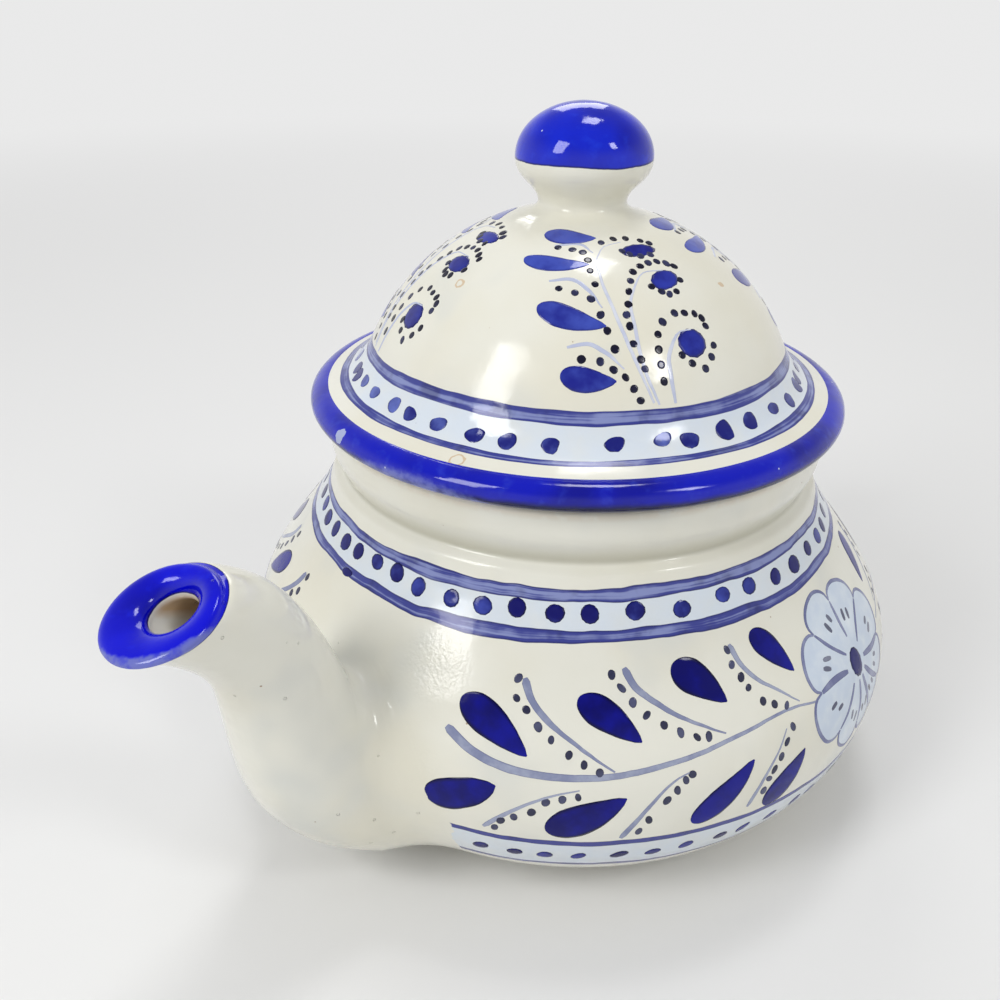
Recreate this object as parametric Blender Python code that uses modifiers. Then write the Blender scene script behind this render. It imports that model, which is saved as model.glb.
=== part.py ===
"""Hand-thrown ceramic teapot with a loose domed lid.

The pot stands on the XY plane with its turning axis on Z and its spout towards +X.
Every luted piece of clay is its own solid: belly, foot ring, neck, spout and handle make the pot,
and bell, rolled rim, locating collar and knob make the lid, which lifts straight off.
"""
import math

import bmesh
import bpy
from mathutils import Vector

MM = 0.001
DEGREE = math.pi / 180

# How the pieces meet and how finely they are turned
JOINT_GAP = 0.3 * MM
CUT_OVERRUN = 4 * MM
MERGE_DISTANCE = 0.01 * MM
SMOOTH_ANGLE = 35 * DEGREE
TURN_STEPS = 48
RING_SIDES = 24
EDGE_STEPS = 2

# Belly
BELLY_RADIUS = 83 * MM
BELLY_WALL = 6 * MM
WIDEST_HEIGHT = 35 * MM
CREASE_HEIGHT = 84 * MM
CREASE_RADIUS = 59.5 * MM
BASE_THICKNESS = 6 * MM
FLOOR_TURN_RISE = 1.5 * MM
SHOULDER_FULLNESS_SHARE = 1.15
SHOULDER_STEPS = 10
BOTTOM_STEPS = 8

# Foot ring
FOOT_RADIUS = 54 * MM
FOOT_HEIGHT = 4 * MM
FOOT_WIDTH = 7 * MM
FOOT_ROUNDING = 1.2 * MM

# Neck collar
NECK_HEIGHT = 11 * MM
NECK_RADIUS = 60.3 * MM
NECK_WALL = 7 * MM
NECK_ROUNDING = 1.5 * MM

# Strainer drilled through the belly behind the spout
STRAINER_HEIGHT = 34 * MM
STRAINER_HOLE_RADIUS = 2.4 * MM
STRAINER_PITCH = 7.5 * MM
STRAINER_OUTER_HOLES = 6
STRAINER_HOLE_SIDES = 10

# Spout: a curve through four pull points, measured outwards from the widest belly
SPOUT_ROOT_DEPTH = 26 * MM
SPOUT_ROOT_HEIGHT = 18 * MM
SPOUT_HEEL_REACH = 28.6 * MM
SPOUT_HEEL_HEIGHT = 32.3 * MM
SPOUT_THROAT_REACH = 5.2 * MM
SPOUT_THROAT_RISE = 38.3 * MM
SPOUT_TIP_REACH = 33.8 * MM
SPOUT_TIP_RISE = 57.1 * MM
SPOUT_ROOT_RADIUS = 17.8 * MM
SPOUT_TIP_RADIUS = 10.2 * MM
SPOUT_ROOT_SPREAD_SHARE = 0.5
SPOUT_SPREAD_END_SHARE = 0.5
SPOUT_WALL = 5 * MM
SPOUT_LIP_RADIUS = 11.6 * MM
SPOUT_HOLE_RADIUS = 5.6 * MM
SPOUT_MOUTH_TILT = 69 * DEGREE
SPOUT_TAPER_SHARES = ((0, 0.3), (0.14, 1), (0.3, 0.78), (0.5, 0.46), (0.75, 0.12), (1, 0))
SPOUT_TURN_START_SHARE = 0.65
SPOUT_STATIONS = 15
LIP_STATIONS = 6
LIP_START_ANGLE = -25 * DEGREE
LIP_END_ANGLE = 205 * DEGREE

# Handle: an ear-shaped strap from the shoulder to the lower belly
HANDLE_REACH = 126.7 * MM
HANDLE_WIDTH = 15 * MM
HANDLE_THICKNESS = 11 * MM
HANDLE_TOP_BELOW_CREASE = 18 * MM
HANDLE_TOP_DEPTH = 24 * MM
HANDLE_CROWN_RISE = 7 * MM
HANDLE_WIDEST_HEIGHT = 50 * MM
HANDLE_BOTTOM_HEIGHT = 19 * MM
HANDLE_BOTTOM_DEPTH = 14 * MM
HANDLE_BOTTOM_RISE = 6 * MM
HANDLE_ROOT_FLARE_SHARE = 1.3
HANDLE_PULL_SHARE = 0.75
HANDLE_SHOULDER_SHARE = 0.8
HANDLE_BEND_SHARE = 0.6
HANDLE_CURVE_STEPS = 9
HANDLE_SIDES = 12

# Lid: the collar sits inside the neck, the flange on its rim, and the bell is a cap of a sphere
LID_PLAY = 1.5 * MM
COLLAR_DEPTH = 14 * MM
COLLAR_WALL = 5 * MM
COLLAR_ROUNDING = 1.2 * MM
FLANGE_RADIUS = 60 * MM
FLANGE_THICKNESS = 6.7 * MM
FLANGE_LAND = 4.4 * MM
FLANGE_FALL = 1.6 * MM
RIM_OVERHANG = 4.3 * MM
BELL_RADIUS = 54.4 * MM
BELL_WALL = 5.5 * MM
BELL_RISE = 47.1 * MM
BELL_FOOT_ANGLE = 24.5 * DEGREE
COVE_CORNER_SHARES = (0.44, 0.17)
BELL_STEPS = 9
COVE_STEPS = 4
RIM_STEPS = 8

# Knob
KNOB_FOOT_RADIUS = 12.4 * MM
KNOB_WAIST_RADIUS = 9.7 * MM
KNOB_RADIUS = 15.4 * MM
KNOB_WAIST_RISE = 3.2 * MM
KNOB_WIDEST_RISE = 11.6 * MM
KNOB_HEIGHT = 23.1 * MM
KNOB_UNDER_SHARE = 0.55
KNOB_WAIST_SHARE = 0.15
KNOB_CAP_STEPS = 8
KNOB_UNDER_STEPS = 6
KNOB_FOOT_STEPS = 3

NECK_TOP = CREASE_HEIGHT + NECK_HEIGHT
LID_SEAT = NECK_TOP + JOINT_GAP
COLLAR_RADIUS = NECK_RADIUS - NECK_WALL - LID_PLAY


def clear_scene():
    for thing in list(bpy.data.objects):
        bpy.data.objects.remove(thing, do_unlink=True)


def new_collection(name):
    group = bpy.data.collections.new(name)
    bpy.context.scene.collection.children.link(group)
    return group


def clay_material(name, colour, roughness):
    material = bpy.data.materials.new(name)
    material.use_nodes = True
    shader = material.node_tree.nodes["Principled BSDF"]
    shader.inputs["Base Color"].default_value = (*colour, 1)
    shader.inputs["Roughness"].default_value = roughness
    shader.inputs["Metallic"].default_value = 0
    material.diffuse_color = (*colour, 1)
    return material


def empty_at(name, height, group):
    axis = bpy.data.objects.new(name, None)
    axis.location = (0, 0, height)
    group.objects.link(axis)
    return axis


def place(thing, group, parent, material=None):
    group.objects.link(thing)
    thing.parent = parent
    if material:
        thing.data.materials.append(material)
    thing.data.shade_smooth()
    thing.data.set_sharp_from_angle(angle=SMOOTH_ANGLE)
    return thing


def make_cutter(thing, group):
    group.objects.link(thing)
    thing.hide_render = True
    thing.display_type = "WIRE"
    return thing


def cut(thing, cutter):
    """Take the cutter away, then weld the doubled points where two seams meet."""
    boolean = thing.modifiers.new("cut_by_" + cutter.name, "BOOLEAN")
    boolean.operation = "DIFFERENCE"
    boolean.solver = "EXACT"
    boolean.object = cutter
    weld = thing.modifiers.new("weld", "WELD")
    weld.merge_threshold = MERGE_DISTANCE


def turned(name, profile, closed):
    """Profile of (radius, height) points, running down the outer side, turned about Z."""
    mesh = bpy.data.meshes.new(name)
    points = [(radius, 0, height) for radius, height in profile]
    edges = [(i, i + 1) for i in range(len(points) - 1)]
    if closed:
        edges.append((len(points) - 1, 0))
    mesh.from_pydata(points, edges, [])
    thing = bpy.data.objects.new(name, mesh)
    screw = thing.modifiers.new("turning", "SCREW")
    screw.axis = "Z"
    screw.angle = 360 * DEGREE
    screw.steps = TURN_STEPS
    screw.render_steps = TURN_STEPS
    screw.use_merge_vertices = True
    screw.merge_threshold = MERGE_DISTANCE
    screw.use_smooth_shade = True
    return thing


def arc(centre, size, start, end, steps):
    """Points on an ellipse about centre, from start to end angle, both ends included."""
    return [(centre[0] + size[0] * math.cos(start + (end - start) * i / steps),
             centre[1] + size[1] * math.sin(start + (end - start) * i / steps))
            for i in range(steps + 1)]


def bezier(points, t):
    """Point on the Bezier curve of any degree with these control points."""
    row = [Vector(point) for point in points]
    while len(row) > 1:
        row = [a.lerp(b, t) for a, b in zip(row, row[1:])]
    return row[0]


def from_shares(shares, t):
    """Value at t between the two neighbouring rows of a share table."""
    for (t0, value0), (t1, value1) in zip(shares, shares[1:]):
        if t <= t1:
            return value0 + (value1 - value0) * (t - t0) / (t1 - t0)
    return shares[-1][1]


def shifted(profile, distance):
    """The profile moved along its own normals, to the right of its running direction if positive."""
    result = []
    for i, (radius, height) in enumerate(profile):
        before = Vector(profile[max(i - 1, 0)])
        after = Vector(profile[min(i + 1, len(profile) - 1)])
        run = (after - before).normalized()
        result.append((radius + run.y * distance, height - run.x * distance))
    return result


def belly_outline():
    """Outer side of the belly from the crease down to the foot."""
    shoulder_drop = CREASE_HEIGHT - WIDEST_HEIGHT
    points = []
    for i in range(SHOULDER_STEPS):
        v = 1 - i / SHOULDER_STEPS
        u = (1 + math.cos(math.pi * v ** SHOULDER_FULLNESS_SHARE)) / 2
        points.append((CREASE_RADIUS + (BELLY_RADIUS - CREASE_RADIUS) * u,
                       WIDEST_HEIGHT + shoulder_drop * v))
    belly_bottom = FOOT_HEIGHT + JOINT_GAP
    points += arc((FOOT_RADIUS, WIDEST_HEIGHT),
                  (BELLY_RADIUS - FOOT_RADIUS, WIDEST_HEIGHT - belly_bottom),
                  0, -90 * DEGREE, BOTTOM_STEPS)
    return points


def build_belly():
    outer = belly_outline()
    outer[0] = (outer[0][0], CREASE_HEIGHT - JOINT_GAP / 2)
    floor = FOOT_HEIGHT + JOINT_GAP + BASE_THICKNESS
    inner = [(radius, height) for radius, height in shifted(outer, BELLY_WALL)
             if height > floor + FLOOR_TURN_RISE]
    inner[0] = (CREASE_RADIUS - BELLY_WALL, outer[0][1])
    floor_edge = FOOT_RADIUS - BELLY_WALL
    inner += [(floor_edge, floor), (0, floor)]
    profile = list(reversed(inner)) + outer + [(0, outer[-1][1])]
    return turned("belly", profile, closed=False)


def belly_envelope():
    """Solid of the belly and neck, one joint gap larger, that trims what is luted on them."""
    outer = belly_outline()
    grown = shifted(outer, -JOINT_GAP)
    top = NECK_TOP + CUT_OVERRUN
    side = NECK_RADIUS + JOINT_GAP
    neck = [(0, top), (side, top), (side, CREASE_HEIGHT + NECK_HEIGHT / 2)]
    return turned("belly_envelope", neck + grown + [(0, grown[-1][1])], closed=False)


def build_foot_ring():
    inner = FOOT_RADIUS - FOOT_WIDTH
    turn = (FOOT_ROUNDING, FOOT_ROUNDING)
    profile = [(inner, FOOT_HEIGHT), (FOOT_RADIUS, FOOT_HEIGHT)]
    profile += arc((FOOT_RADIUS - FOOT_ROUNDING, FOOT_ROUNDING), turn, 0, -90 * DEGREE, EDGE_STEPS)
    profile += arc((inner + FOOT_ROUNDING, FOOT_ROUNDING), turn, -90 * DEGREE, -180 * DEGREE, EDGE_STEPS)
    return turned("foot_ring", profile, closed=True)


def build_neck():
    bottom = CREASE_HEIGHT + JOINT_GAP / 2
    inner = NECK_RADIUS - NECK_WALL
    turn = (NECK_ROUNDING, NECK_ROUNDING)
    height = NECK_TOP - NECK_ROUNDING
    profile = arc((inner + NECK_ROUNDING, height), turn, 180 * DEGREE, 90 * DEGREE, EDGE_STEPS)
    profile += arc((NECK_RADIUS - NECK_ROUNDING, height), turn, 90 * DEGREE, 0, EDGE_STEPS)
    profile += [(NECK_RADIUS, CREASE_HEIGHT + NECK_HEIGHT / 2), (CREASE_RADIUS, bottom),
                (CREASE_RADIUS - BELLY_WALL, bottom)]
    return turned("neck_collar", profile, closed=True)


def strainer_drills():
    """Six holes round one, drilled along X through the wall that the spout covers."""
    drills = bmesh.new()
    depth = BELLY_WALL + 4 * CUT_OVERRUN
    spots = [(0, 0)] + [(STRAINER_PITCH * math.cos(2 * math.pi * i / STRAINER_OUTER_HOLES),
                         STRAINER_PITCH * math.sin(2 * math.pi * i / STRAINER_OUTER_HOLES))
                        for i in range(STRAINER_OUTER_HOLES)]
    for across, up in spots:
        made = bmesh.ops.create_cone(drills, cap_ends=True, segments=STRAINER_HOLE_SIDES, depth=depth,
                                     radius1=STRAINER_HOLE_RADIUS, radius2=STRAINER_HOLE_RADIUS)
        for vertex in made["verts"]:
            x, y, z = vertex.co
            vertex.co = (BELLY_RADIUS - BELLY_WALL / 2 + z, across + y, STRAINER_HEIGHT + up - x)
    mesh = bpy.data.meshes.new("strainer_drills")
    drills.to_mesh(mesh)
    drills.free()
    return bpy.data.objects.new("strainer_drills", mesh)


def spout_centre(t):
    pulls = ((BELLY_RADIUS - SPOUT_ROOT_DEPTH, SPOUT_ROOT_HEIGHT),
             (BELLY_RADIUS + SPOUT_HEEL_REACH, SPOUT_HEEL_HEIGHT),
             (BELLY_RADIUS - SPOUT_THROAT_REACH, SPOUT_HEEL_HEIGHT + SPOUT_THROAT_RISE),
             (BELLY_RADIUS + SPOUT_TIP_REACH, SPOUT_HEEL_HEIGHT + SPOUT_TIP_RISE))
    return bezier(pulls, t)


def spout_tilt(t):
    """Tilt of the section's normal: along the curve, turning to the mouth's own tilt near the tip."""
    step = 1 / SPOUT_STATIONS
    ahead = spout_centre(min(t + step, 1)) - spout_centre(max(t - step, 0))
    along = math.atan2(ahead.y, ahead.x)
    turn = max(0, (t - SPOUT_TURN_START_SHARE) / (1 - SPOUT_TURN_START_SHARE))
    blend = turn * turn * (3 - 2 * turn)
    return along + (SPOUT_MOUTH_TILT - along) * blend


def spout_ring(t, inset):
    """One oval section of the spout, drawn in from its outside by inset."""
    centre = spout_centre(t)
    tilt = spout_tilt(t)
    radius = SPOUT_TIP_RADIUS + (SPOUT_ROOT_RADIUS - SPOUT_TIP_RADIUS) * from_shares(SPOUT_TAPER_SHARES, t)
    spread = 1 + SPOUT_ROOT_SPREAD_SHARE * max(0, 1 - t / SPOUT_SPREAD_END_SHARE)
    return section(centre, tilt, radius - inset, radius * spread - inset)


def section(centre, tilt, rise, width):
    """Oval ring of points, tilted about its centre."""
    ring = []
    for i in range(RING_SIDES):
        angle = 2 * math.pi * i / RING_SIDES
        up = rise * math.sin(angle)
        ring.append((centre.x - up * math.sin(tilt), width * math.cos(angle),
                     centre.y + up * math.cos(tilt)))
    return ring


def lip_ring(angle):
    """One ring of the rolled lip; the angle runs from the outside over the top to the hole."""
    roll = (SPOUT_LIP_RADIUS - SPOUT_HOLE_RADIUS) / 2
    middle = (SPOUT_LIP_RADIUS + SPOUT_HOLE_RADIUS) / 2
    radius = middle + roll * math.cos(angle)
    lift = roll * math.sin(angle) - roll
    out = Vector((math.cos(SPOUT_MOUTH_TILT), math.sin(SPOUT_MOUTH_TILT)))
    return section(spout_centre(1) + out * lift, SPOUT_MOUTH_TILT, radius, radius)


def build_spout():
    """Loft of oval sections that turn from the belly to the mouth: outside, rolled lip, bore."""
    last = 1 - 1 / SPOUT_STATIONS
    stations = [last * i / (SPOUT_STATIONS - 1) for i in range(SPOUT_STATIONS)]
    rings = [spout_ring(t, 0) for t in stations]
    turn = LIP_END_ANGLE - LIP_START_ANGLE
    rings += [lip_ring(LIP_START_ANGLE + turn * i / LIP_STATIONS) for i in range(LIP_STATIONS + 1)]
    rings += [spout_ring(t, SPOUT_WALL) for t in reversed(stations)]
    loft = bmesh.new()
    rows = [[loft.verts.new(point) for point in ring] for ring in rings]
    for row, following in zip(rows, rows[1:] + rows[:1]):
        for i in range(RING_SIDES):
            j = (i + 1) % RING_SIDES
            loft.faces.new((row[i], row[j], following[j], following[i]))
    bmesh.ops.recalc_face_normals(loft, faces=loft.faces)
    mesh = bpy.data.meshes.new("spout")
    loft.to_mesh(mesh)
    loft.free()
    return bpy.data.objects.new("spout", mesh)


def handle_route():
    """Knots of the strap's centre line, shoulder to belly, each with its pull in and pull out."""
    top = CREASE_HEIGHT - HANDLE_TOP_BELOW_CREASE
    reach = HANDLE_REACH - HANDLE_THICKNESS / 2
    widest = HANDLE_WIDEST_HEIGHT
    start = BELLY_RADIUS - HANDLE_TOP_DEPTH
    end = BELLY_RADIUS - HANDLE_BOTTOM_DEPTH
    crown = start + (reach - start) * HANDLE_PULL_SHARE
    heel = end + (reach - end) * HANDLE_PULL_SHARE
    above = widest + (top + HANDLE_CROWN_RISE - widest) * HANDLE_SHOULDER_SHARE
    below = widest - (widest - HANDLE_BOTTOM_HEIGHT) * HANDLE_BEND_SHARE
    return (((start, top), (start, top), (crown, top + HANDLE_CROWN_RISE)),
            ((reach, widest), (reach, above), (reach, below)),
            ((end, HANDLE_BOTTOM_HEIGHT), (heel, HANDLE_BOTTOM_HEIGHT + HANDLE_BOTTOM_RISE),
             (end, HANDLE_BOTTOM_HEIGHT)))


def build_handle(guides):
    """Oval clay strap pulled along the route, swelling at its two roots."""
    section_curve = bpy.data.curves.new("handle_section", "CURVE")
    section_curve.dimensions = "2D"
    oval = section_curve.splines.new("POLY")
    oval.points.add(HANDLE_SIDES - 1)
    oval.use_cyclic_u = True
    for i, point in enumerate(oval.points):
        angle = 2 * math.pi * i / HANDLE_SIDES
        point.co = (HANDLE_WIDTH / 2 * math.cos(angle), HANDLE_THICKNESS / 2 * math.sin(angle), 0, 1)
    guide = make_cutter(bpy.data.objects.new("handle_section", section_curve), guides)

    path = bpy.data.curves.new("handle_path", "CURVE")
    path.dimensions = "3D"
    path.resolution_u = HANDLE_CURVE_STEPS
    path.bevel_mode = "OBJECT"
    path.bevel_object = guide
    path.use_fill_caps = True
    spline = path.splines.new("BEZIER")
    spline.bezier_points.add(2)
    flares = (HANDLE_ROOT_FLARE_SHARE, 1, HANDLE_ROOT_FLARE_SHARE)
    for knot, spot, flare in zip(spline.bezier_points, handle_route(), flares):
        co, left, right = [(-out, 0, height) for out, height in spot]
        knot.handle_left_type = "FREE"
        knot.handle_right_type = "FREE"
        knot.co, knot.handle_left, knot.handle_right = co, left, right
        knot.radius = flare
    strap = bpy.data.objects.new("handle_path", path)
    guides.objects.link(strap)
    return curve_to_mesh(strap, "handle")


def curve_to_mesh(curve, name):
    evaluated = curve.evaluated_get(bpy.context.evaluated_depsgraph_get())
    mesh = bpy.data.meshes.new_from_object(evaluated)
    mesh.name = name
    welded = bmesh.new()
    welded.from_mesh(mesh)
    bmesh.ops.remove_doubles(welded, verts=welded.verts, dist=MERGE_DISTANCE)
    bmesh.ops.recalc_face_normals(welded, faces=welded.faces)
    welded.to_mesh(mesh)
    welded.free()
    thing = bpy.data.objects.new(name, mesh)
    thing.matrix_world = curve.matrix_world
    bpy.data.objects.remove(curve, do_unlink=True)
    return thing


def bell_centre():
    """Height of the bell's sphere centre above the lid's seat, from the bell's rise."""
    return BELL_RISE - BELL_RADIUS


def bell_top():
    return bell_centre() + math.sqrt(BELL_RADIUS ** 2 - KNOB_FOOT_RADIUS ** 2)


def build_bell():
    """Flange, cove and domed bell in one thrown shell; heights are above the lid's seat."""
    edge = FLANGE_RADIUS - JOINT_GAP / 2
    centre = (0, bell_centre())
    foot = (BELL_RADIUS * math.cos(BELL_FOOT_ANGLE), centre[1] + BELL_RADIUS * math.sin(BELL_FOOT_ANGLE))
    land = (FLANGE_RADIUS - FLANGE_LAND, FLANGE_THICKNESS + FLANGE_FALL)
    across, up = COVE_CORNER_SHARES
    cove_corner = (foot[0] + (land[0] - foot[0]) * across, land[1] + (foot[1] - land[1]) * up)
    top_angle = math.acos(KNOB_FOOT_RADIUS / BELL_RADIUS)
    outer = arc(centre, (BELL_RADIUS, BELL_RADIUS), top_angle, BELL_FOOT_ANGLE, BELL_STEPS)
    outer += [tuple(bezier((foot, cove_corner, land), i / COVE_STEPS))
              for i in range(1, COVE_STEPS + 1)]
    outer += [(edge, FLANGE_THICKNESS), (edge, 0)]
    bore = COLLAR_RADIUS - COLLAR_WALL
    inner_radius = BELL_RADIUS - BELL_WALL
    inner = arc(centre, (inner_radius, inner_radius), BELL_FOOT_ANGLE, 90 * DEGREE, BELL_STEPS)
    inner[-1] = (0, inner[-1][1])
    profile = [(0, bell_top())] + outer + [(bore, 0)] + inner
    return turned("lid_bell", profile, closed=False)


def build_rim():
    """Rolled edge round the flange."""
    seam = FLANGE_RADIUS + JOINT_GAP / 2
    half = FLANGE_THICKNESS / 2
    profile = arc((seam, half), (RIM_OVERHANG, half), 90 * DEGREE, -90 * DEGREE, RIM_STEPS)
    return turned("lid_rim", profile, closed=True)


def build_collar():
    """Locating ring that drops into the neck, hanging one joint gap under the flange."""
    top = -JOINT_GAP
    turn_height = top - COLLAR_DEPTH + COLLAR_ROUNDING
    bore = COLLAR_RADIUS - COLLAR_WALL
    turn = (COLLAR_ROUNDING, COLLAR_ROUNDING)
    profile = [(bore, top), (COLLAR_RADIUS, top)]
    profile += arc((COLLAR_RADIUS - COLLAR_ROUNDING, turn_height), turn, 0, -90 * DEGREE, EDGE_STEPS)
    profile += arc((bore + COLLAR_ROUNDING, turn_height), turn, -90 * DEGREE, -180 * DEGREE, EDGE_STEPS)
    return turned("lid_collar", profile, closed=True)


def build_knob():
    """Solid mushroom knob: domed cap, rounded under-side, waist and a small foot on the bell."""
    base = bell_top() + JOINT_GAP
    widest = base + KNOB_WIDEST_RISE
    waist = base + KNOB_WAIST_RISE
    cap = arc((0, widest), (KNOB_RADIUS, KNOB_HEIGHT - KNOB_WIDEST_RISE), 90 * DEGREE, 0, KNOB_CAP_STEPS)
    cap[0] = (0, cap[0][1])
    under = (widest - waist) * KNOB_UNDER_SHARE
    waist_pull = KNOB_WAIST_RADIUS + (KNOB_RADIUS - KNOB_WAIST_RADIUS) * KNOB_WAIST_SHARE
    belly = [tuple(bezier((cap[-1], (KNOB_RADIUS, widest - under), (waist_pull, waist + under),
                           (KNOB_WAIST_RADIUS, waist)), i / KNOB_UNDER_STEPS))
             for i in range(1, KNOB_UNDER_STEPS + 1)]
    flare = [tuple(bezier((belly[-1], (KNOB_WAIST_RADIUS, base), (KNOB_FOOT_RADIUS, base)),
                          i / KNOB_FOOT_STEPS)) for i in range(1, KNOB_FOOT_STEPS + 1)]
    return turned("lid_knob", cap + belly + flare + [(0, base)], closed=False)


def main():
    clear_scene()
    teapot = new_collection("teapot")
    guides = new_collection("cutters_and_guides")

    white = (0.83, 0.82, 0.77)
    cobalt = (0.02, 0.03, 0.42)
    biscuit = (0.62, 0.45, 0.30)

    pot_axis = empty_at("pot_axis", 0, teapot)
    lid_axis = empty_at("lid_axis", LID_SEAT, teapot)

    envelope = make_cutter(belly_envelope(), guides)
    drills = make_cutter(strainer_drills(), guides)

    belly = place(build_belly(), teapot, pot_axis, clay_material("belly_glaze", white, 0.14))
    cut(belly, drills)
    place(build_foot_ring(), teapot, pot_axis, clay_material("foot_clay", biscuit, 0.8))
    place(build_neck(), teapot, pot_axis, clay_material("neck_glaze", white, 0.14))
    spout = place(build_spout(), teapot, pot_axis, clay_material("spout_glaze", white, 0.14))
    cut(spout, envelope)
    handle = place(build_handle(guides), teapot, pot_axis, clay_material("handle_glaze", white, 0.14))
    cut(handle, envelope)

    place(build_bell(), teapot, lid_axis, clay_material("bell_glaze", white, 0.14))
    place(build_rim(), teapot, lid_axis, clay_material("rim_cobalt", cobalt, 0.1))
    place(build_collar(), teapot, lid_axis, clay_material("collar_glaze", white, 0.2))
    place(build_knob(), teapot, lid_axis, clay_material("knob_cobalt", cobalt, 0.1))


main()
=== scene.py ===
"""Hand-painted teapot: glaze skins, brushwork, light and camera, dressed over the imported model."""
import math
import random

import bmesh
import bpy
import numpy as np
from mathutils import Matrix, Vector


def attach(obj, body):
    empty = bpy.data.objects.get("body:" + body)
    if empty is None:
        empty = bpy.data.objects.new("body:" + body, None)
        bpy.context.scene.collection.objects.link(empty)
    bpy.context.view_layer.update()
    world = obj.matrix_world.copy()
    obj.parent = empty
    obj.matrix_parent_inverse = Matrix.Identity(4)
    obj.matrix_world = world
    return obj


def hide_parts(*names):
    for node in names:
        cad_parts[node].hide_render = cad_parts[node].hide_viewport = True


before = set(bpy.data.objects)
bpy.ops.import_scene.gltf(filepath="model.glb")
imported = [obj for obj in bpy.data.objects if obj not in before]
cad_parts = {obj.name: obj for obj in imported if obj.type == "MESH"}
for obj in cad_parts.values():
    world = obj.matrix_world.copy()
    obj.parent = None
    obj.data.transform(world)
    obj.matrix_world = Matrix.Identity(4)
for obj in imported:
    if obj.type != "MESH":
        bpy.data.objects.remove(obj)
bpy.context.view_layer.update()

MM = 0.001

# The potter's sizes, in millimetres, as in the part's own source
BELLY_RADIUS, WIDEST_HEIGHT = 83.0, 35.0
CREASE_RADIUS, CREASE_HEIGHT, CREASE_TUCK = 59.5, 84.0, 2.1
TUCK_TOP, TUCK_REACH, TUCK_CURVE, TUCK_BOTTOM, TUCK_EASE = 88.2, 6.5, 1.9, 79.6, 2.2
SHOULDER_FULLNESS = 1.15
FOOT_RADIUS, FOOT_HEIGHT, FOOT_WIDTH, FOOT_ROUNDING = 54.0, 4.0, 7.0, 1.2
BELLY_WALL, FLOOR_HEIGHT = 6.0, 10.3
STRAINER_HOLE_RADIUS, STRAINER_PITCH, STRAINER_REACH, STRAINER_HEIGHT, STRAINER_DEPTH = 2.4, 7.5, 80.0, 34.0, 22.0
NECK_RADIUS, NECK_WALL, NECK_TOP, NECK_ROUNDING = 60.3, 7.0, 95.0, 1.5
NECK_SPLIT = 90.0
LID_SEAT = 95.3
COLLAR_RADIUS, COLLAR_WALL, COLLAR_BOTTOM, COLLAR_ROUNDING = 51.8, 5.0, 81.0, 1.2
FLANGE_RADIUS, FLANGE_TOP, RIM_OVERHANG = 60.0, 102.0, 4.3
LAND_RADIUS, LAND_HEIGHT = 55.6, 103.6
BELL_RADIUS, BELL_CENTRE, BELL_WALL, BELL_FOOT_ANGLE = 54.4, 88.0, 5.5, 24.5
COVE_CORNER = (52.9, 104.8)
KNOB_FOOT_RADIUS, KNOB_WAIST, KNOB_WIDEST, KNOB_TOP = 14.6, (10.0, 143.4), (15.4, 152.9), 164.4
SPOUT_PULLS = ((57.0, 18.0), (111.6, 32.3), (77.8, 70.6), (117.5, 90.0))
SPOUT_ROOT_RADIUS, SPOUT_TIP_RADIUS, SPOUT_WALL = 17.8, 10.2, 5.0
SPOUT_TAPER = ((0, 0.3, 0.5, 0.75, 1), (1.05, 0.78, 0.46, 0.12, 0))
SPOUT_ROOT_SPREAD, SPOUT_SPREAD_END = 0.5, 0.5
LIP_TILT, LIP_TURN_START, LIP_FLARE_START = math.radians(69), 0.65, 0.74
# The mouth's face as (radius, height, how far its ring lies towards the pot), from the rolled edge into the bore
LIP_PROFILE = ((11.7, -1.5, 0.0), (11.65, -0.95, 0.0), (11.35, -0.4, 0.05), (10.8, -0.08, 0.15), (9.9, 0.05, 0.35),
               (8.7, 0.02, 0.75), (7.4, -0.25, 1.2), (6.2, -0.8, 1.6), (5.3, -1.7, 1.85), (4.75, -3.0, 1.9),
               (4.6, -4.6, 1.6))
BORE_RADIUS_AT_LIP = 4.6
HANDLE_PULLS = (((59.0, 66.0), (105.65, 73.0), (121.2, 68.4), (121.2, 50.0)),
                ((121.2, 50.0), (121.2, 31.4), (108.15, 25.0), (69.0, 19.0)))
HANDLE_HALF_WIDTH, HANDLE_HALF_THICKNESS, HANDLE_ROOT_FLARE = 7.5, 5.5, 1.3

# Where the painter set the brush, in millimetres above the table; a line is (height, width where it faces the
# painter, width at the sides, how watery)
SHOULDER_LINES = ((76.2, 3.0, 2.1, 0.04), (68.8, 2.8, 2.1, -0.05))
FOOT_LINES = ((28.6, 1.6, 1.6, -0.25), (18.6, 1.4, 1.4, -0.25))
FLANGE_LINES = ((110.35, 3.1, 3.1, 0.02), (103.45, 1.5, 2.3, -0.03))
PAINTER_AZIMUTH = 37.0
# Where the knob's cobalt stops, and the height below which the rim's cobalt is darkened as painted shade
KNOB_PAINT_HEIGHT, RIM_SHADE_BELOW = 152.5, 98.0
# Cobalt on the lip, from outside its crest to where the bare clay of the bore begins
LIP_PAINT = (-4.2, 6.3)
RIM_CHIP, RIM_CHIP_SIZE = (61.5, -16.1, 99.9), 1.8
SUNK_UNDER_GLAZE, WASH_PROUD = 0.2, 0.036
SHOULDER_DOT_HEIGHT, FOOT_DAB_HEIGHT, FLANGE_DAB_HEIGHT = 72.7, 23.5, 106.9
# Crescents of thin, paler cobalt, where a ball (centre, radius, hollow, softness) meets the edge: outside it on the
# lip, where the cobalt wore, and across the rim's lower half
LIP_WORN = ((114.9, -2.1, 91.0), 13.1, 0.0, -0.8)
RIM_PALE_CRESCENT = ((63.6, 6.7, 36.0), 64.1, 0.0, 1.6)
# The heights at which painted shade in the crease starts, is deepest and ends
CREASE_SHADE_HEIGHTS = (87.0, 81.9, 81.0)
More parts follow.
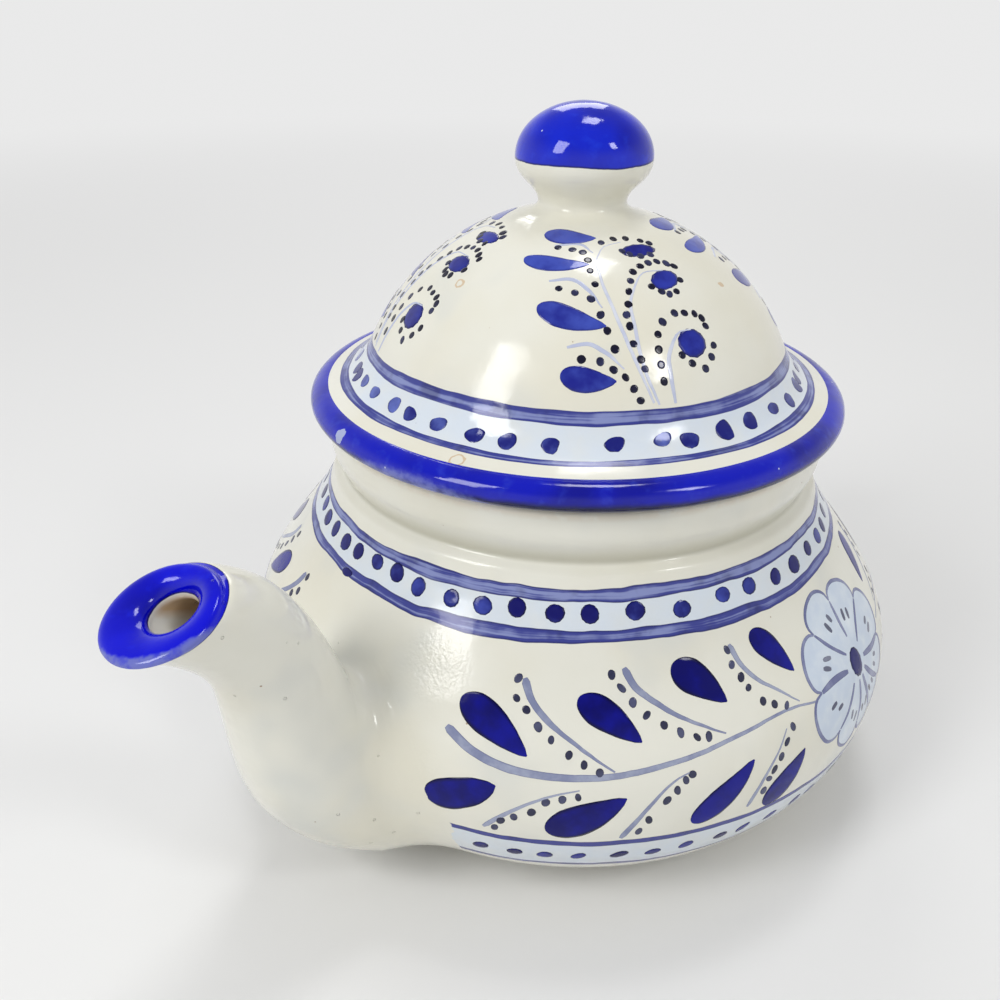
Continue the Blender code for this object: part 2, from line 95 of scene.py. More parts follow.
# Where the foot's lines stop for the spout and the handle, as spans of turn in degrees
FOOT_GAPS = ((-5.0, 21.4), (167.0, 190.0))
# Grainy glaze beside the spout (place, size), and what the kiln left on the lid (azimuth, height, size, hollow)
GRAINY_GLAZE = (((69.5, 19.3, 61.0), 10.0), ((75.5, 24.5, 43.0), 6.0))
KILN_MARKS = ((-10.0, 129.8, 1.1, 0.3), (97.5, 129.4, 0.8, 0.0), (14.2, 102.4, 1.5, 0.3))


# Outlines and walls turned on the wheel

def ray(degrees):
    """Cosine and sine of an angle in degrees."""
    return math.cos(math.radians(degrees)), math.sin(math.radians(degrees))


def signed(degrees):
    """The same angle from -180 to 180."""
    return (degrees + 180) % 360 - 180


def ellipse(centre, size, start, end, steps):
    """Points on an ellipse from start to end, in degrees, both ends included."""
    turns = np.radians(np.linspace(start, end, steps + 1))
    return [(centre[0] + size[0] * math.cos(a), centre[1] + size[1] * math.sin(a)) for a in turns]


def bend(pulls, t):
    """The point at a share t of a Bezier curve of any degree."""
    row = [np.array(point, float) for point in pulls]
    while len(row) > 1:
        row = [a + (b - a) * t for a, b in zip(row, row[1:])]
    return row[0]


def pull(points, steps):
    """Points on a Bezier curve, both ends included."""
    return [tuple(bend(points, t)) for t in np.linspace(0, 1, steps + 1)]


def run_of(points):
    """Distance along a line of points, at each point."""
    steps = np.linalg.norm(np.diff(points, axis=0), axis=-1)
    return np.concatenate([[0], np.cumsum(steps)])


def curve_through(run, values, marks):
    """Smooth curve through values given at run, read at marks."""
    slope = np.gradient(values, run)
    k = np.clip(np.searchsorted(run, marks, side="right") - 1, 0, len(run) - 2)
    width = run[k + 1] - run[k]
    t = (marks - run[k]) / width
    return ((2 * t ** 3 - 3 * t ** 2 + 1) * values[k] + (t ** 3 - 2 * t ** 2 + t) * width * slope[k]
            + (3 * t ** 2 - 2 * t ** 3) * values[k + 1] + (t ** 3 - t ** 2) * width * slope[k + 1])


def evenly(profile, step):
    """The same profile with its points about one step apart along it."""
    points = np.array(profile, float)
    run = run_of(points)
    marks = np.linspace(0, run[-1], max(2, round(run[-1] / step) + 1))
    return list(zip(np.interp(marks, run, points[:, 0]), np.interp(marks, run, points[:, 1])))


def thrown(azimuth, height):
    """How far the wall leaves the true circle: the thrower's slow swell and faint finger ridges."""
    swell = 0.16 * np.sin(2 * azimuth + 0.7 + height / 41) + 0.07 * np.sin(3 * azimuth - 1.1 + height / 17)
    ridges = 0.035 * np.sin(height * 2 * np.pi / 7.3 + azimuth) * np.sin(height / 13 + 0.4)
    return swell + ridges


class Wall:
    """A thrown wall: a profile of (radius, height) that runs down the outside, turned about Z."""

    def __init__(self, profile):
        self.points = np.array(profile, float)
        self.run = run_of(self.points)
        slope = np.gradient(self.points, self.run, axis=0)
        slope /= np.hypot(*slope.T)[:, None]
        self.facing = np.stack([-slope[:, 1], slope[:, 0]], axis=1)

    def along(self, height):
        """How far down the wall a height is."""
        return np.interp(-np.asarray(height, float), -self.points[:, 1], self.run)

    def radius(self, along):
        return np.interp(along, self.run, self.points[:, 0])

    def facing_at(self, azimuth, along):
        out, up = (np.interp(along, self.run, self.facing[:, k]) for k in (0, 1))
        return np.stack([out * np.cos(azimuth), out * np.sin(azimuth), up + 0 * azimuth], axis=-1)

    def at(self, azimuth, along, proud=0.0):
        """Points on the wall, azimuth in radians and along in millimetres, standing proud by so much."""
        height = np.interp(along, self.run, self.points[:, 1])
        radius = self.radius(along)
        base = np.stack([radius * np.cos(azimuth), radius * np.sin(azimuth), height + 0 * azimuth], axis=-1)
        lift = thrown(azimuth, height) + proud
        return base + self.facing_at(azimuth, along) * lift[..., None]

    def nearest(self, points):
        """Azimuth and along of the wall's points nearest these ones."""
        azimuth = np.arctan2(points[..., 1], points[..., 0])
        along = self.along(points[..., 2])
        for _ in range(14):
            miss = points - self.at(azimuth, along)
            facing = self.facing_at(azimuth, along)
            sideways = np.stack([-np.sin(azimuth), np.cos(azimuth), 0 * azimuth], axis=-1)
            down = np.cross(sideways, facing)
            azimuth = azimuth + 0.7 * np.sum(miss * sideways, axis=-1) / self.radius(along)
            along = np.clip(along + 0.7 * np.sum(miss * down, axis=-1), 0, self.run[-1])
        return azimuth, along

    def height_above(self, points):
        azimuth, along = self.nearest(points)
        return np.sum((points - self.at(azimuth, along)) * self.facing_at(azimuth, along), axis=-1)


def soft_step(share):
    share = np.clip(share, 0, 1)
    return share * share * (3 - 2 * share)


def belly_outside(tuck=CREASE_TUCK):
    """Outside of the pot from the middle of the neck down to the foot; at the crease the neck tucks under."""
    rise = np.linspace(1, 0, 90)
    bulge = (1 + np.cos(np.pi * rise ** SHOULDER_FULLNESS)) / 2
    shoulder = list(zip(CREASE_RADIUS + (BELLY_RADIUS - CREASE_RADIUS) * bulge,
                        WIDEST_HEIGHT + (CREASE_HEIGHT - WIDEST_HEIGHT) * rise))
    neck = pull([(NECK_RADIUS, NECK_SPLIT), (NECK_RADIUS, NECK_SPLIT - 2.5),
                 (CREASE_RADIUS, CREASE_HEIGHT + 2), shoulder[0]], 12)
    bottom = ellipse((FOOT_RADIUS, WIDEST_HEIGHT), (BELLY_RADIUS - FOOT_RADIUS, WIDEST_HEIGHT - FOOT_HEIGHT),
                     0, -90, 90)
    profile = np.array(neck[:-1] + shoulder[:-1] + bottom)
    height = profile[:, 1]
    deepens = np.clip((TUCK_TOP - height) / TUCK_REACH, 0, 1) ** TUCK_CURVE
    profile[:, 0] -= tuck * deepens * soft_step((height - TUCK_BOTTOM) / TUCK_EASE)
    return profile


def lid_outside():
    """Outside of the lid from under the knob down to the flange's painted edge."""
    across, up = ray(BELL_FOOT_ANGLE)
    foot = (BELL_RADIUS * across, BELL_CENTRE + BELL_RADIUS * up)
    dome = ellipse((0, BELL_CENTRE), (BELL_RADIUS, BELL_RADIUS), 89, BELL_FOOT_ANGLE, 90)
    cove = pull([foot, COVE_CORNER, (LAND_RADIUS, LAND_HEIGHT)], 16)
    land = pull([(LAND_RADIUS, LAND_HEIGHT), (58.2, 102.55), (FLANGE_RADIUS, FLANGE_TOP)], 8)
    return dome[:-1] + cove[:-1] + land


POT_WALL = Wall(evenly(belly_outside(), 0.5))
LID_WALL = Wall(evenly(lid_outside(), 0.4))


# Meshes

SKIN_SIDES, SHARP_EDGE = 256, math.radians(50)
UNPAINTED = -500.0


def placed(name, data):
    """A new object that shows this data."""
    thing = bpy.data.objects.new(name, data)
    bpy.context.scene.collection.objects.link(thing)
    return thing


def set_marks(mesh, marks, kind="FLOAT", field="value"):
    for key, values in marks.items():
        flat = np.asarray(values, np.float32).ravel()
        mesh.attributes.new(key, kind, "POINT").data.foreach_set(field, flat)


def carrier(name, points, edges, marks, faces=()):
    """Object of these bare points in metres, paths or faces, with its marks as attributes."""
    mesh = bpy.data.meshes.new(name)
    mesh.from_pydata(points, edges, faces)
    set_marks(mesh, marks)
    return placed(name, mesh)


def piece(name, points, faces, marks):
    """Object of millimetre points, closed and facing outwards, with its paint marks as attributes."""
    thing = carrier(name, (np.asarray(points, float) * MM).tolist(), [], marks, faces)
    made = bmesh.new()
    made.from_mesh(thing.data)
    bmesh.ops.recalc_face_normals(made, faces=made.faces)
    made.to_mesh(thing.data)
    made.free()
    thing.data.shade_smooth()
    thing.data.set_sharp_from_angle(angle=SHARP_EDGE)
    return thing


def finish_piece(thing, *materials):
    for material in materials:
        thing.data.materials.append(material)
    return thing


def band(upper, lower, sides, inside_out=False):
    """The faces between two rings of points that start at these ones."""
    faces = [(upper + i, upper + (i + 1) % sides, lower + (i + 1) % sides, lower + i) for i in range(sides)]
    return [(a, d, c, b) for a, b, c, d in faces] if inside_out else faces


def fan(hub, ring, sides):
    """The faces between a point and a ring."""
    return [(hub, ring + (i + 1) % sides, ring + i) for i in range(sides)]


def turned_skin(name, rows, sides=SKIN_SIDES, wobble=True):
    """A profile of (radius, height, along, bare) rows turned about Z; a row at radius 0 is one point."""
    azimuth = np.linspace(0, 2 * np.pi, sides, endpoint=False)
    points, marks, rings = [], {"along": [], "turn": [], "bare": []}, []
    for radius, height, along, bare in rows:
        count = sides if radius > 0 else 1
        around = azimuth[:count]
        reach = radius + (thrown(around, height) if wobble and radius > 0 else 0 * around)
        rings.append((len(points), count))
        points += np.stack([reach * np.cos(around), reach * np.sin(around), 0 * around + height], 1).tolist()
        turn = np.degrees(np.abs((around + np.pi) % (2 * np.pi) - np.pi))
        marks["along"] += [along] * count
        marks["bare"] += [bare] * count
        marks["turn"] += turn.tolist()
    faces = []
    loop = rings + ([rings[0]] if rows[0][0] > 0 and rows[-1][0] > 0 else [])
    for (upper, upper_count), (lower, lower_count) in zip(loop, loop[1:]):
        if upper_count == 1:
            faces += fan(upper, lower, sides)
        elif lower_count == 1:
            faces += [(first, second, hub) for hub, second, first in fan(lower, upper, sides)]
        else:
            faces += band(upper, lower, sides)
    return piece(name, points, faces, marks)


def plain(profile, bare=0.0):
    """Profile rows that no brush reaches."""
    return [(radius, height, UNPAINTED, bare) for radius, height in profile]


def rolled(radius, height, rounding, start, end, bare, steps=5):
    """Profile rows round an edge with its centre there."""
    return plain(ellipse((radius, height), (rounding, rounding), start, end, steps), bare)


def painted_rows(wall, step, first=0.0, last=None):
    """Profile rows of a painted wall, each with how far along it lies."""
    last = wall.run[-1] if last is None else last
    marks = np.append(np.arange(first, last, step), last)
    return [(float(wall.radius(m)), float(np.interp(m, wall.run, wall.points[:, 1])), float(m), 0.0) for m in marks]


def inside_of(wall, thickness, lowest):
    """The wall's inner side, from its top down to the lowest height."""
    inner = wall.points - wall.facing * thickness
    return [tuple(point) for point in inner[::4] if point[1] > lowest]


def make_belly():
    inner = inside_of(Wall(evenly(belly_outside(tuck=0), 0.5)), BELLY_WALL, FLOOR_HEIGHT + 3)
    inner = pull([(0.1, FLOOR_HEIGHT), (FOOT_RADIUS - 4, FLOOR_HEIGHT), inner[-1]], 14) + inner[::-1][1:]
    inner = [(0, FLOOR_HEIGHT)] + inner
    inner[-1] = (NECK_RADIUS - NECK_WALL, NECK_SPLIT)
    outer = painted_rows(POT_WALL, 0.5, last=13)[:-1] + painted_rows(POT_WALL, 1.2, first=13)
    under = plain([(FOOT_RADIUS - 3.5, FOOT_HEIGHT), (FOOT_RADIUS - FOOT_WIDTH - 4, FOOT_HEIGHT + 0.2),
                   (0, FOOT_HEIGHT + 0.3)])
    belly = turned_skin("belly_skin", plain(inner) + outer + under)
    drills = bmesh.new()
    radius, pitch = STRAINER_HOLE_RADIUS * MM, STRAINER_PITCH
    for across, up in [(0, 0)] + [ray(turn) for turn in range(0, 360, 60)]:
        made = bmesh.ops.create_cone(drills, cap_ends=True, segments=24, radius1=radius, radius2=radius,
                                     depth=STRAINER_DEPTH * MM)
        spot = Matrix.Translation(Vector((STRAINER_REACH, pitch * across, STRAINER_HEIGHT + pitch * up)) * MM)
        bmesh.ops.transform(drills, verts=made["verts"], matrix=spot @ Matrix.Rotation(math.pi / 2, 4, "Y"))
    mesh = bpy.data.meshes.new("strainer_drills")
    drills.to_mesh(mesh)
    drills.free()
    cutter = placed("strainer_drills", mesh)
    cut = belly.modifiers.new("strainer", "BOOLEAN")
    cut.object, cut.solver = cutter, "EXACT"
    settle(belly)
    bpy.data.objects.remove(cutter)
    return belly


def settle(thing):
    """Keeps the modifiers' result as the plain mesh."""
    graph = bpy.context.evaluated_depsgraph_get()
    mesh = bpy.data.meshes.new_from_object(thing.evaluated_get(graph), depsgraph=graph)
    thing.modifiers.clear()
    mesh.name = thing.name
    thing.data = mesh


def make_neck():
    inner = NECK_RADIUS - NECK_WALL
    top = NECK_TOP - NECK_ROUNDING
    rows = plain([(inner, NECK_SPLIT), (inner, NECK_SPLIT + 1.5)])
    rows += rolled(inner + NECK_ROUNDING, top, NECK_ROUNDING, 180, 90, 0.4)
    rows += plain([(inner + 3, NECK_TOP), (NECK_RADIUS - 2.2, NECK_TOP)], 1.0)
    rows += rolled(NECK_RADIUS - NECK_ROUNDING, top, NECK_ROUNDING, 90, 0, 0.2, 6)
    rows += plain([(NECK_RADIUS, NECK_SPLIT + k) for k in (2.4, 1.2, 0)])
    return turned_skin("neck_skin", rows)


def make_foot():
    inner = FOOT_RADIUS - FOOT_WIDTH
    top = FOOT_HEIGHT + 0.2
    rows = plain([(inner, top), (FOOT_RADIUS, top), (FOOT_RADIUS, 2.6)])
    rows += rolled(FOOT_RADIUS - FOOT_ROUNDING, FOOT_ROUNDING, FOOT_ROUNDING, 0, -90, 1.0)
    rows += rolled(inner + FOOT_ROUNDING, FOOT_ROUNDING, FOOT_ROUNDING, -90, -180, 1.0)
    return turned_skin("foot_skin", rows, wobble=False)


def make_bell():
    bore = COLLAR_RADIUS - COLLAR_WALL
    inner_radius = BELL_RADIUS - BELL_WALL
    hollow = ellipse((0, BELL_CENTRE), (inner_radius, inner_radius), 90, BELL_FOOT_ANGLE, 34)
    hollow[0] = (0, hollow[0][1])
    rows = plain([(0, BELL_CENTRE + BELL_RADIUS - 0.02)]) + painted_rows(LID_WALL, 0.8, first=1.0)
    rows += plain([(FLANGE_RADIUS + 0.1, FLANGE_TOP - 1.5), (FLANGE_RADIUS + 0.1, LID_SEAT + 0.4)])
    rows += plain([(FLANGE_RADIUS - 0.5, LID_SEAT), (bore + 1, LID_SEAT), (bore, LID_SEAT + 0.6)], 1.0)
    rows += plain(hollow[::-1])
    return turned_skin("bell_skin", rows)


def make_rim():
    half = (FLANGE_TOP - LID_SEAT) / 2
    roll = ellipse((FLANGE_RADIUS, LID_SEAT + half), (RIM_OVERHANG, half), 96, -90, 26)
    return turned_skin("rim_skin", plain([(FLANGE_RADIUS - 1.2, FLANGE_TOP - 0.4)]) + plain(roll)
                       + plain([(FLANGE_RADIUS - 1.2, LID_SEAT + 0.1)]), sides=288)


def make_collar():
    bore = COLLAR_RADIUS - COLLAR_WALL
    low = COLLAR_BOTTOM + COLLAR_ROUNDING
    rows = plain([(bore, LID_SEAT + 0.3), (COLLAR_RADIUS, LID_SEAT + 0.3), (COLLAR_RADIUS, low + 3)])
    rows += rolled(COLLAR_RADIUS - COLLAR_ROUNDING, low, COLLAR_ROUNDING, 0, -90, 0.3)
    rows += rolled(bore + COLLAR_ROUNDING, low, COLLAR_ROUNDING, -90, -180, 0.3)
    rows += plain([(bore, low + 4)])
    return turned_skin("collar_skin", rows, wobble=False)


def make_knob():
    """Mushroom knob whose foot runs out onto the bell and tucks just under its glaze."""
    cap = ellipse((0, KNOB_WIDEST[1]), (KNOB_WIDEST[0], KNOB_TOP - KNOB_WIDEST[1]), 90, 0, 26)
    cap[0] = (0, KNOB_TOP)
    under = pull([cap[-1], (15.6, 148.9), (12.6, 147.4), (10.4, 146.0), KNOB_WAIST], 18)
    dome_height = BELL_CENTRE + math.sqrt(BELL_RADIUS ** 2 - KNOB_FOOT_RADIUS ** 2)
    slope = KNOB_FOOT_RADIUS / (dome_height - BELL_CENTRE)
    foot = pull([KNOB_WAIST, (9.95, 141.8), (KNOB_FOOT_RADIUS - 2.4, dome_height + 2.4 * slope),
                 (KNOB_FOOT_RADIUS, dome_height)], 14)
    tuck = [(KNOB_FOOT_RADIUS + 0.9, dome_height - 0.9 * slope - 0.12), (KNOB_FOOT_RADIUS - 1, dome_height - 1.2),
            (0, dome_height - 1.2)]
    profile = cap + under[1:] + foot[1:]
    run = run_of(np.array(profile))
    rows = [(r, z, float(s), 0.0) for (r, z), s in zip(profile, run)]
    return turned_skin("knob_skin", rows + plain(tuck), sides=160)


# Spout and handle: tubes of clay luted on the belly with a soft fillet

def column_cut(column, heights, level):
    """Where a column that runs down to the wall first comes as near to it as level: its share of stations."""
    below = np.nonzero(heights < level)[0]
    if not len(below):
        return float(len(column) - 1)
    k = max(int(below[0]), 1)
    return k - 1 + (heights[k - 1] - level) / max(heights[k - 1] - heights[k], 1e-6)


def on_column(column, share):
    k = int(np.clip(math.floor(share), 0, len(column) - 2))
    return column[k] + (column[k + 1] - column[k]) * (share - k)


def shortened(columns, shares, stations):
    """Every column kept from its start to its own share, with the same number of stations."""
    steps = np.linspace(0, 1, stations)
    return np.stack([np.stack([on_column(columns[:, j], s * shares[j]) for s in steps])
                     for j in range(columns.shape[1])], axis=1)


def luted(columns, blend, spread, stations=90, fillet_stations=16):
    """A tube's columns, run down to the belly, leave it at the blend height and run out along the wall."""
    heights = POT_WALL.height_above(columns)
    sides = columns.shape[1]
    away = np.array([column_cut(columns[:, j], heights[:, j], blend) for j in range(sides)])
    meet = np.array([column_cut(columns[:, j], heights[:, j], 0.0) for j in range(sides)])
    leaving = np.stack([on_column(columns[:, j], away[j]) for j in range(sides)])
    corner = np.stack([on_column(columns[:, j], meet[j]) for j in range(sides)])
    azimuth, along = POT_WALL.nearest(corner)
    facing = POT_WALL.facing_at(azimuth, along)
    outwards = corner - corner.mean(axis=0)
    outwards -= facing * np.sum(outwards * facing, axis=-1, keepdims=True)
    outwards /= np.linalg.norm(outwards, axis=-1, keepdims=True)
    landing = POT_WALL.nearest(corner + outwards * spread)
    ashore = POT_WALL.at(*landing)
    facing = POT_WALL.facing_at(*landing)
    back = corner - ashore
    back -= facing * np.sum(back * facing, axis=-1, keepdims=True)
    hold = 0.6
    t = np.linspace(0, 1, fillet_stations + 1)[1:, None, None]
    first, second = leaving + (corner - leaving) * hold, ashore + back * hold
    fillet = ((1 - t) ** 3 * leaving + 3 * (1 - t) ** 2 * t * first + 3 * (1 - t) * t ** 2 * second
              + t ** 3 * ashore)
    past = POT_WALL.nearest(ashore - back * (1.2 / spread))
    tuck = POT_WALL.at(*past, proud=-0.15 + 0 * past[0])
    inside = POT_WALL.at(azimuth, along, proud=-2.0 + 0 * azimuth)
    return np.concatenate([shortened(columns, away, stations), fillet, tuck[None], inside[None]])


def soft(table, t, reach=0.07):
    """Value at t of a table of shares, with its corners rounded."""
    return float(np.mean([np.interp(t + d, *table) for d in np.linspace(-reach, reach, 9)]))


def spout_tilt(t):
    ahead = bend(SPOUT_PULLS, min(t + 1 / 15, 1)) - bend(SPOUT_PULLS, max(t - 1 / 15, 0))
    along = math.atan2(ahead[1], ahead[0])
    turn = max(0, (t - LIP_TURN_START) / (1 - LIP_TURN_START))
    return along + (LIP_TILT - along) * turn * turn * (3 - 2 * turn)


def oval(centre, tilt, rise, width, sides):
    """A ring about a point of the plane Y = 0, tilted in that plane."""
    turns = np.linspace(0, 2 * np.pi, sides, endpoint=False)
    up = rise * np.sin(turns)
    return np.stack([centre[0] - up * math.sin(tilt), width * np.cos(turns), centre[1] + up * math.cos(tilt)], 1)


def spout_ring(t, inset, sides):
    radius = SPOUT_TIP_RADIUS + (SPOUT_ROOT_RADIUS - SPOUT_TIP_RADIUS) * soft(SPOUT_TAPER, t)
    spread = 1 + SPOUT_ROOT_SPREAD * max(0, 1 - t / SPOUT_SPREAD_END) ** 1.5
    near_lip = max(0, (t - LIP_FLARE_START) / (1 - LIP_FLARE_START))
    if inset:
        radius += (BORE_RADIUS_AT_LIP + inset - radius) * near_lip
    else:
        radius += (LIP_PROFILE[0][0] - radius) * near_lip ** 1.6
    return oval(bend(SPOUT_PULLS, t), spout_tilt(t), radius - inset, radius * spread - inset, sides)


def lip_rings(stations, sides):
    """The mouth's own rings: over the rounded edge, across the flat face and down into the bore."""
    profile = np.array(LIP_PROFILE)
    run = run_of(profile)
    marks = np.linspace(0, run[-1], stations)
    out = np.array((math.cos(LIP_TILT), math.sin(LIP_TILT)))
    towards = np.array((-out[1], out[0]))
    radii, lifts, shifts = (curve_through(run, profile[:, k], marks) for k in range(3))
    return np.stack([oval(bend(SPOUT_PULLS, 1) + out * lift + towards * shift, LIP_TILT, radius, radius, sides)
                     for radius, lift, shift in zip(radii, lifts, shifts)])


def eased(columns, rounds, rows):
    """The columns with their stations in rows drawn towards their neighbours."""
    for _ in range(rounds):
        middle = (columns[:-2] + 2 * columns[1:-1] + columns[2:]) / 4
        columns[1:-1][rows] = middle[rows]
    return columns


def tube_faces(rows, sides, closed):
    faces = []
    for k in range(rows if closed else rows - 1):
        faces += band(k * sides, (k + 1) % rows * sides, sides)
    return faces


def make_spout():
    sides = 112
    outer = np.stack([spout_ring(t, 0, sides) for t in np.linspace(0.985, 0.03, 120)])
    bore = np.stack([spout_ring(t, SPOUT_WALL, sides) for t in np.linspace(0.9, 0.03, 110)])
    skirt = luted(outer, blend=6.5, spread=8.0)
    heights = POT_WALL.height_above(bore)
    shares = np.array([column_cut(bore[:, j], heights[:, j], -1.2) for j in range(sides)])
    rows = np.concatenate([skirt[::-1], lip_rings(34, sides), shortened(bore, shares, 50)])
    rows = eased(rows, 2, slice(len(skirt) - 5, len(skirt) + 38))
    run = np.cumsum(np.concatenate([[0], np.linalg.norm(np.diff(rows, axis=0), axis=-1).mean(axis=1)]))
    crest = int(np.argmax((rows @ np.array([math.cos(LIP_TILT), 0, math.sin(LIP_TILT)])).mean(axis=1)))
    along = np.repeat(run - run[crest], sides)
    up_side = np.tile(np.sin(np.linspace(0, 2 * np.pi, sides, endpoint=False)), len(rows))
    bare = np.clip((along - LIP_PAINT[1]) / 1.2, 0, 1) * np.clip(up_side * 2 + 1.0, 0, 1)
    marks = {"along": along, "turn": 0 * along, "bare": bare}
    return piece("spout_skin", rows.reshape(-1, 3), tube_faces(len(rows), sides, closed=True), marks)


def handle_ring(place, sides):
    """Section of the strap at a place from 0, the upper root, to 2, the lower one."""
    pulls = HANDLE_PULLS[0 if place < 1 else 1]
    t = place - (0 if place < 1 else 1)
    centre, ahead = bend(pulls, t), bend(pulls, min(t + 0.01, 1)) - bend(pulls, max(t - 0.01, 0))
    flare = 1 + (HANDLE_ROOT_FLARE - 1) * abs(place - 1) ** 1.3
    tilt = math.atan2(ahead[1], ahead[0])
    ring = oval(centre, tilt, HANDLE_HALF_THICKNESS * flare, HANDLE_HALF_WIDTH * flare, sides)
    return ring * np.array([-1, 1, 1])


def make_handle():
    sides = 56
    upper = np.stack([handle_ring(p, sides) for p in np.linspace(1, 0.02, 90)])
    lower = np.stack([handle_ring(p, sides) for p in np.linspace(1, 1.98, 90)])
    upper, lower = luted(upper, 4.0, 5.5, 60, 12), luted(lower, 4.0, 5.5, 60, 12)
    rows = np.concatenate([upper[::-1], lower[1:]])
    points = rows.reshape(-1, 3)
    faces = tube_faces(len(rows), sides, closed=False)
    ends = [tuple(range(sides)), tuple(range(len(points) - sides, len(points)))]
    blank = np.zeros(len(points))
    return piece("handle_skin", points, faces + ends, {"along": blank + UNPAINTED, "turn": blank, "bare": blank})


# The painter's marks: (azimuth in degrees, height in millimetres), the spout being at azimuth 0

BODY_LEAVES = [((22.1, 56.7), (32.4, 49.0), 3.6), ((40.5, 58.7), (49.3, 51.7), 3.2),
               ((56.3, 63.0), (63.9, 56.0), 3.5), ((72.6, 64.9), (78.4, 56.6), 2.9),
               ((18.3, 36.6), (28.2, 42.3), 3.8), ((36.4, 33.1), (46.9, 40.9), 4.0),
               ((57.7, 32.9), (67.0, 43.9), 3.3), ((70.1, 31.0), (77.1, 41.0), 3.4)]
BODY_STEMS = [
    (1.05, [(19.8, 51.7), (24.3, 48.4), (29.6, 46.3), (34.6, 45.6), (39.5, 45.4), (44.8, 45.7), (50.2, 46.6),
            (57.4, 48.1), (65.6, 49.8), (74.5, 50.8), (81.1, 49.3)]),
    (0.85, [(31.0, 61.9), (32.3, 58.7), (35.0, 55.5), (38.4, 52.5), (42.1, 49.3), (45.2, 46.6)]),
    (0.85, [(47.4, 63.9), (48.9, 60.9), (52.2, 57.9), (55.8, 55.1), (59.1, 53.0), (62.7, 50.7)]),
    (0.7, [(67.2, 64.8), (68.0, 61.7), (70.5, 58.0), (73.9, 54.8), (77.5, 51.2)]),
    (0.6, [(26.5, 31.1), (29.5, 35.4), (32.6, 38.7), (36.5, 41.5), (40.2, 42.9)]),
    (0.7, [(46.4, 30.1), (48.6, 35.1), (51.1, 39.9), (53.9, 43.6), (56.3, 44.9)]),
    (0.6, [(66.3, 31.9), (67.9, 36.1), (69.9, 40.6), (71.9, 44.0), (73.6, 47.5)])]
BODY_DOTS = [(29.9, 61.7), (30.0, 58.5), (31.7, 56.9), (33.8, 54.3), (35.8, 52.3), (38.5, 49.8), (40.7, 48.1),
             (43.0, 46.6), (45.2, 63.0), (46.7, 60.8), (48.4, 58.4), (50.4, 56.2), (52.9, 54.2), (55.4, 52.6),
             (57.9, 51.3), (59.8, 50.9), (66.5, 64.0), (66.5, 61.5), (67.6, 59.1), (68.4, 57.1), (70.4, 54.1),
             (72.4, 52.8), (74.7, 51.6), (28.2, 31.4), (29.1, 33.7), (31.0, 35.2), (33.5, 37.0), (35.5, 39.8),
             (37.8, 40.7), (40.0, 41.4), (49.0, 31.8), (50.3, 34.8), (52.8, 39.3), (54.3, 41.4), (55.6, 43.4),
             (56.7, 44.4), (69.0, 34.9), (69.8, 37.7), (70.7, 39.6), (72.1, 42.0), (73.4, 44.7), (74.9, 47.2)]
FLOWER_CENTRE = (94.6, 49.7)
PETALS = [(108, 20.6), (68, 19.3), (14, 20.7), (-26, 19.4), (-57, 18.6), (-84, 18.2),
          (-114, 20.1), (-158, 21.7), (155, 20.0)]
SPRAY_MIRROR, FAR_FLANK_SHIFT = 95.5, 8.0
SHOULDER_DOTS = [-33.8, -28.3, -22.3, -16.4, -11.1, -4.6, 1.3, 7.3, 14.8, 21.4, 28.0, 35.2, 41.7, 50.3, 59.6,
                 68.8, 75.4, 83.1, 89.9, 97.1, 103.8, 109.3]
FLANGE_DOTS = [-38.6, -33.7, -27.6, -20.1, -11.2, -3.6, 4.8, 14.7, 22.3, 32.0, 46.0, 56.9, 63.8, 71.9, 80.9,
               91.9, 100.8, 109.0, 113.4]
FOOT_DABS = [25.7, 31.0, 35.5, 40.6, 46.7, 52.0, 57.2, 63.1, 67.3]

LID_LEAVES = [((15.0, 139.4), (47.0, 139.0), 2.8), ((13.0, 135.6), (41.3, 135.4), 2.25),
              ((25.6, 128.7), (45.8, 126.0), 2.8), ((34.4, 118.0), (47.5, 116.9), 2.75)]
LID_BERRIES = [((68.4, 137.0), 21.0, (137.9, 136.1)), ((71.8, 132.4), 13.5, (133.8, 130.9)),
               ((71.0, 122.0), 9.4, (124.4, 119.4))]
LID_STEMS = [
    (0.5, [(56.5, 112.7), (51.7, 122.8), (48.5, 128.9), (45.5, 134.0), (45.7, 136.5), (51.0, 137.9),
           (61.3, 138.3)]),
    (0.5, [(57.8, 112.3), (55.0, 119.3), (54.5, 125.4), (56.4, 130.9), (63.2, 133.7), (73.4, 133.8)]),
    (0.6, [(62.0, 112.2), (62.0, 116.9), (63.3, 121.2), (67.6, 124.0), (72.2, 124.2)]),
    (0.6, [(25.7, 132.7), (33.1, 133.2), (40.7, 131.6), (45.0, 128.9)]),
    (0.6, [(34.6, 122.5), (39.4, 123.2), (45.2, 121.7), (49.7, 118.9)]),
    (0.5, [(22.9, 137.8), (35.7, 138.2), (43.8, 137.0)])]
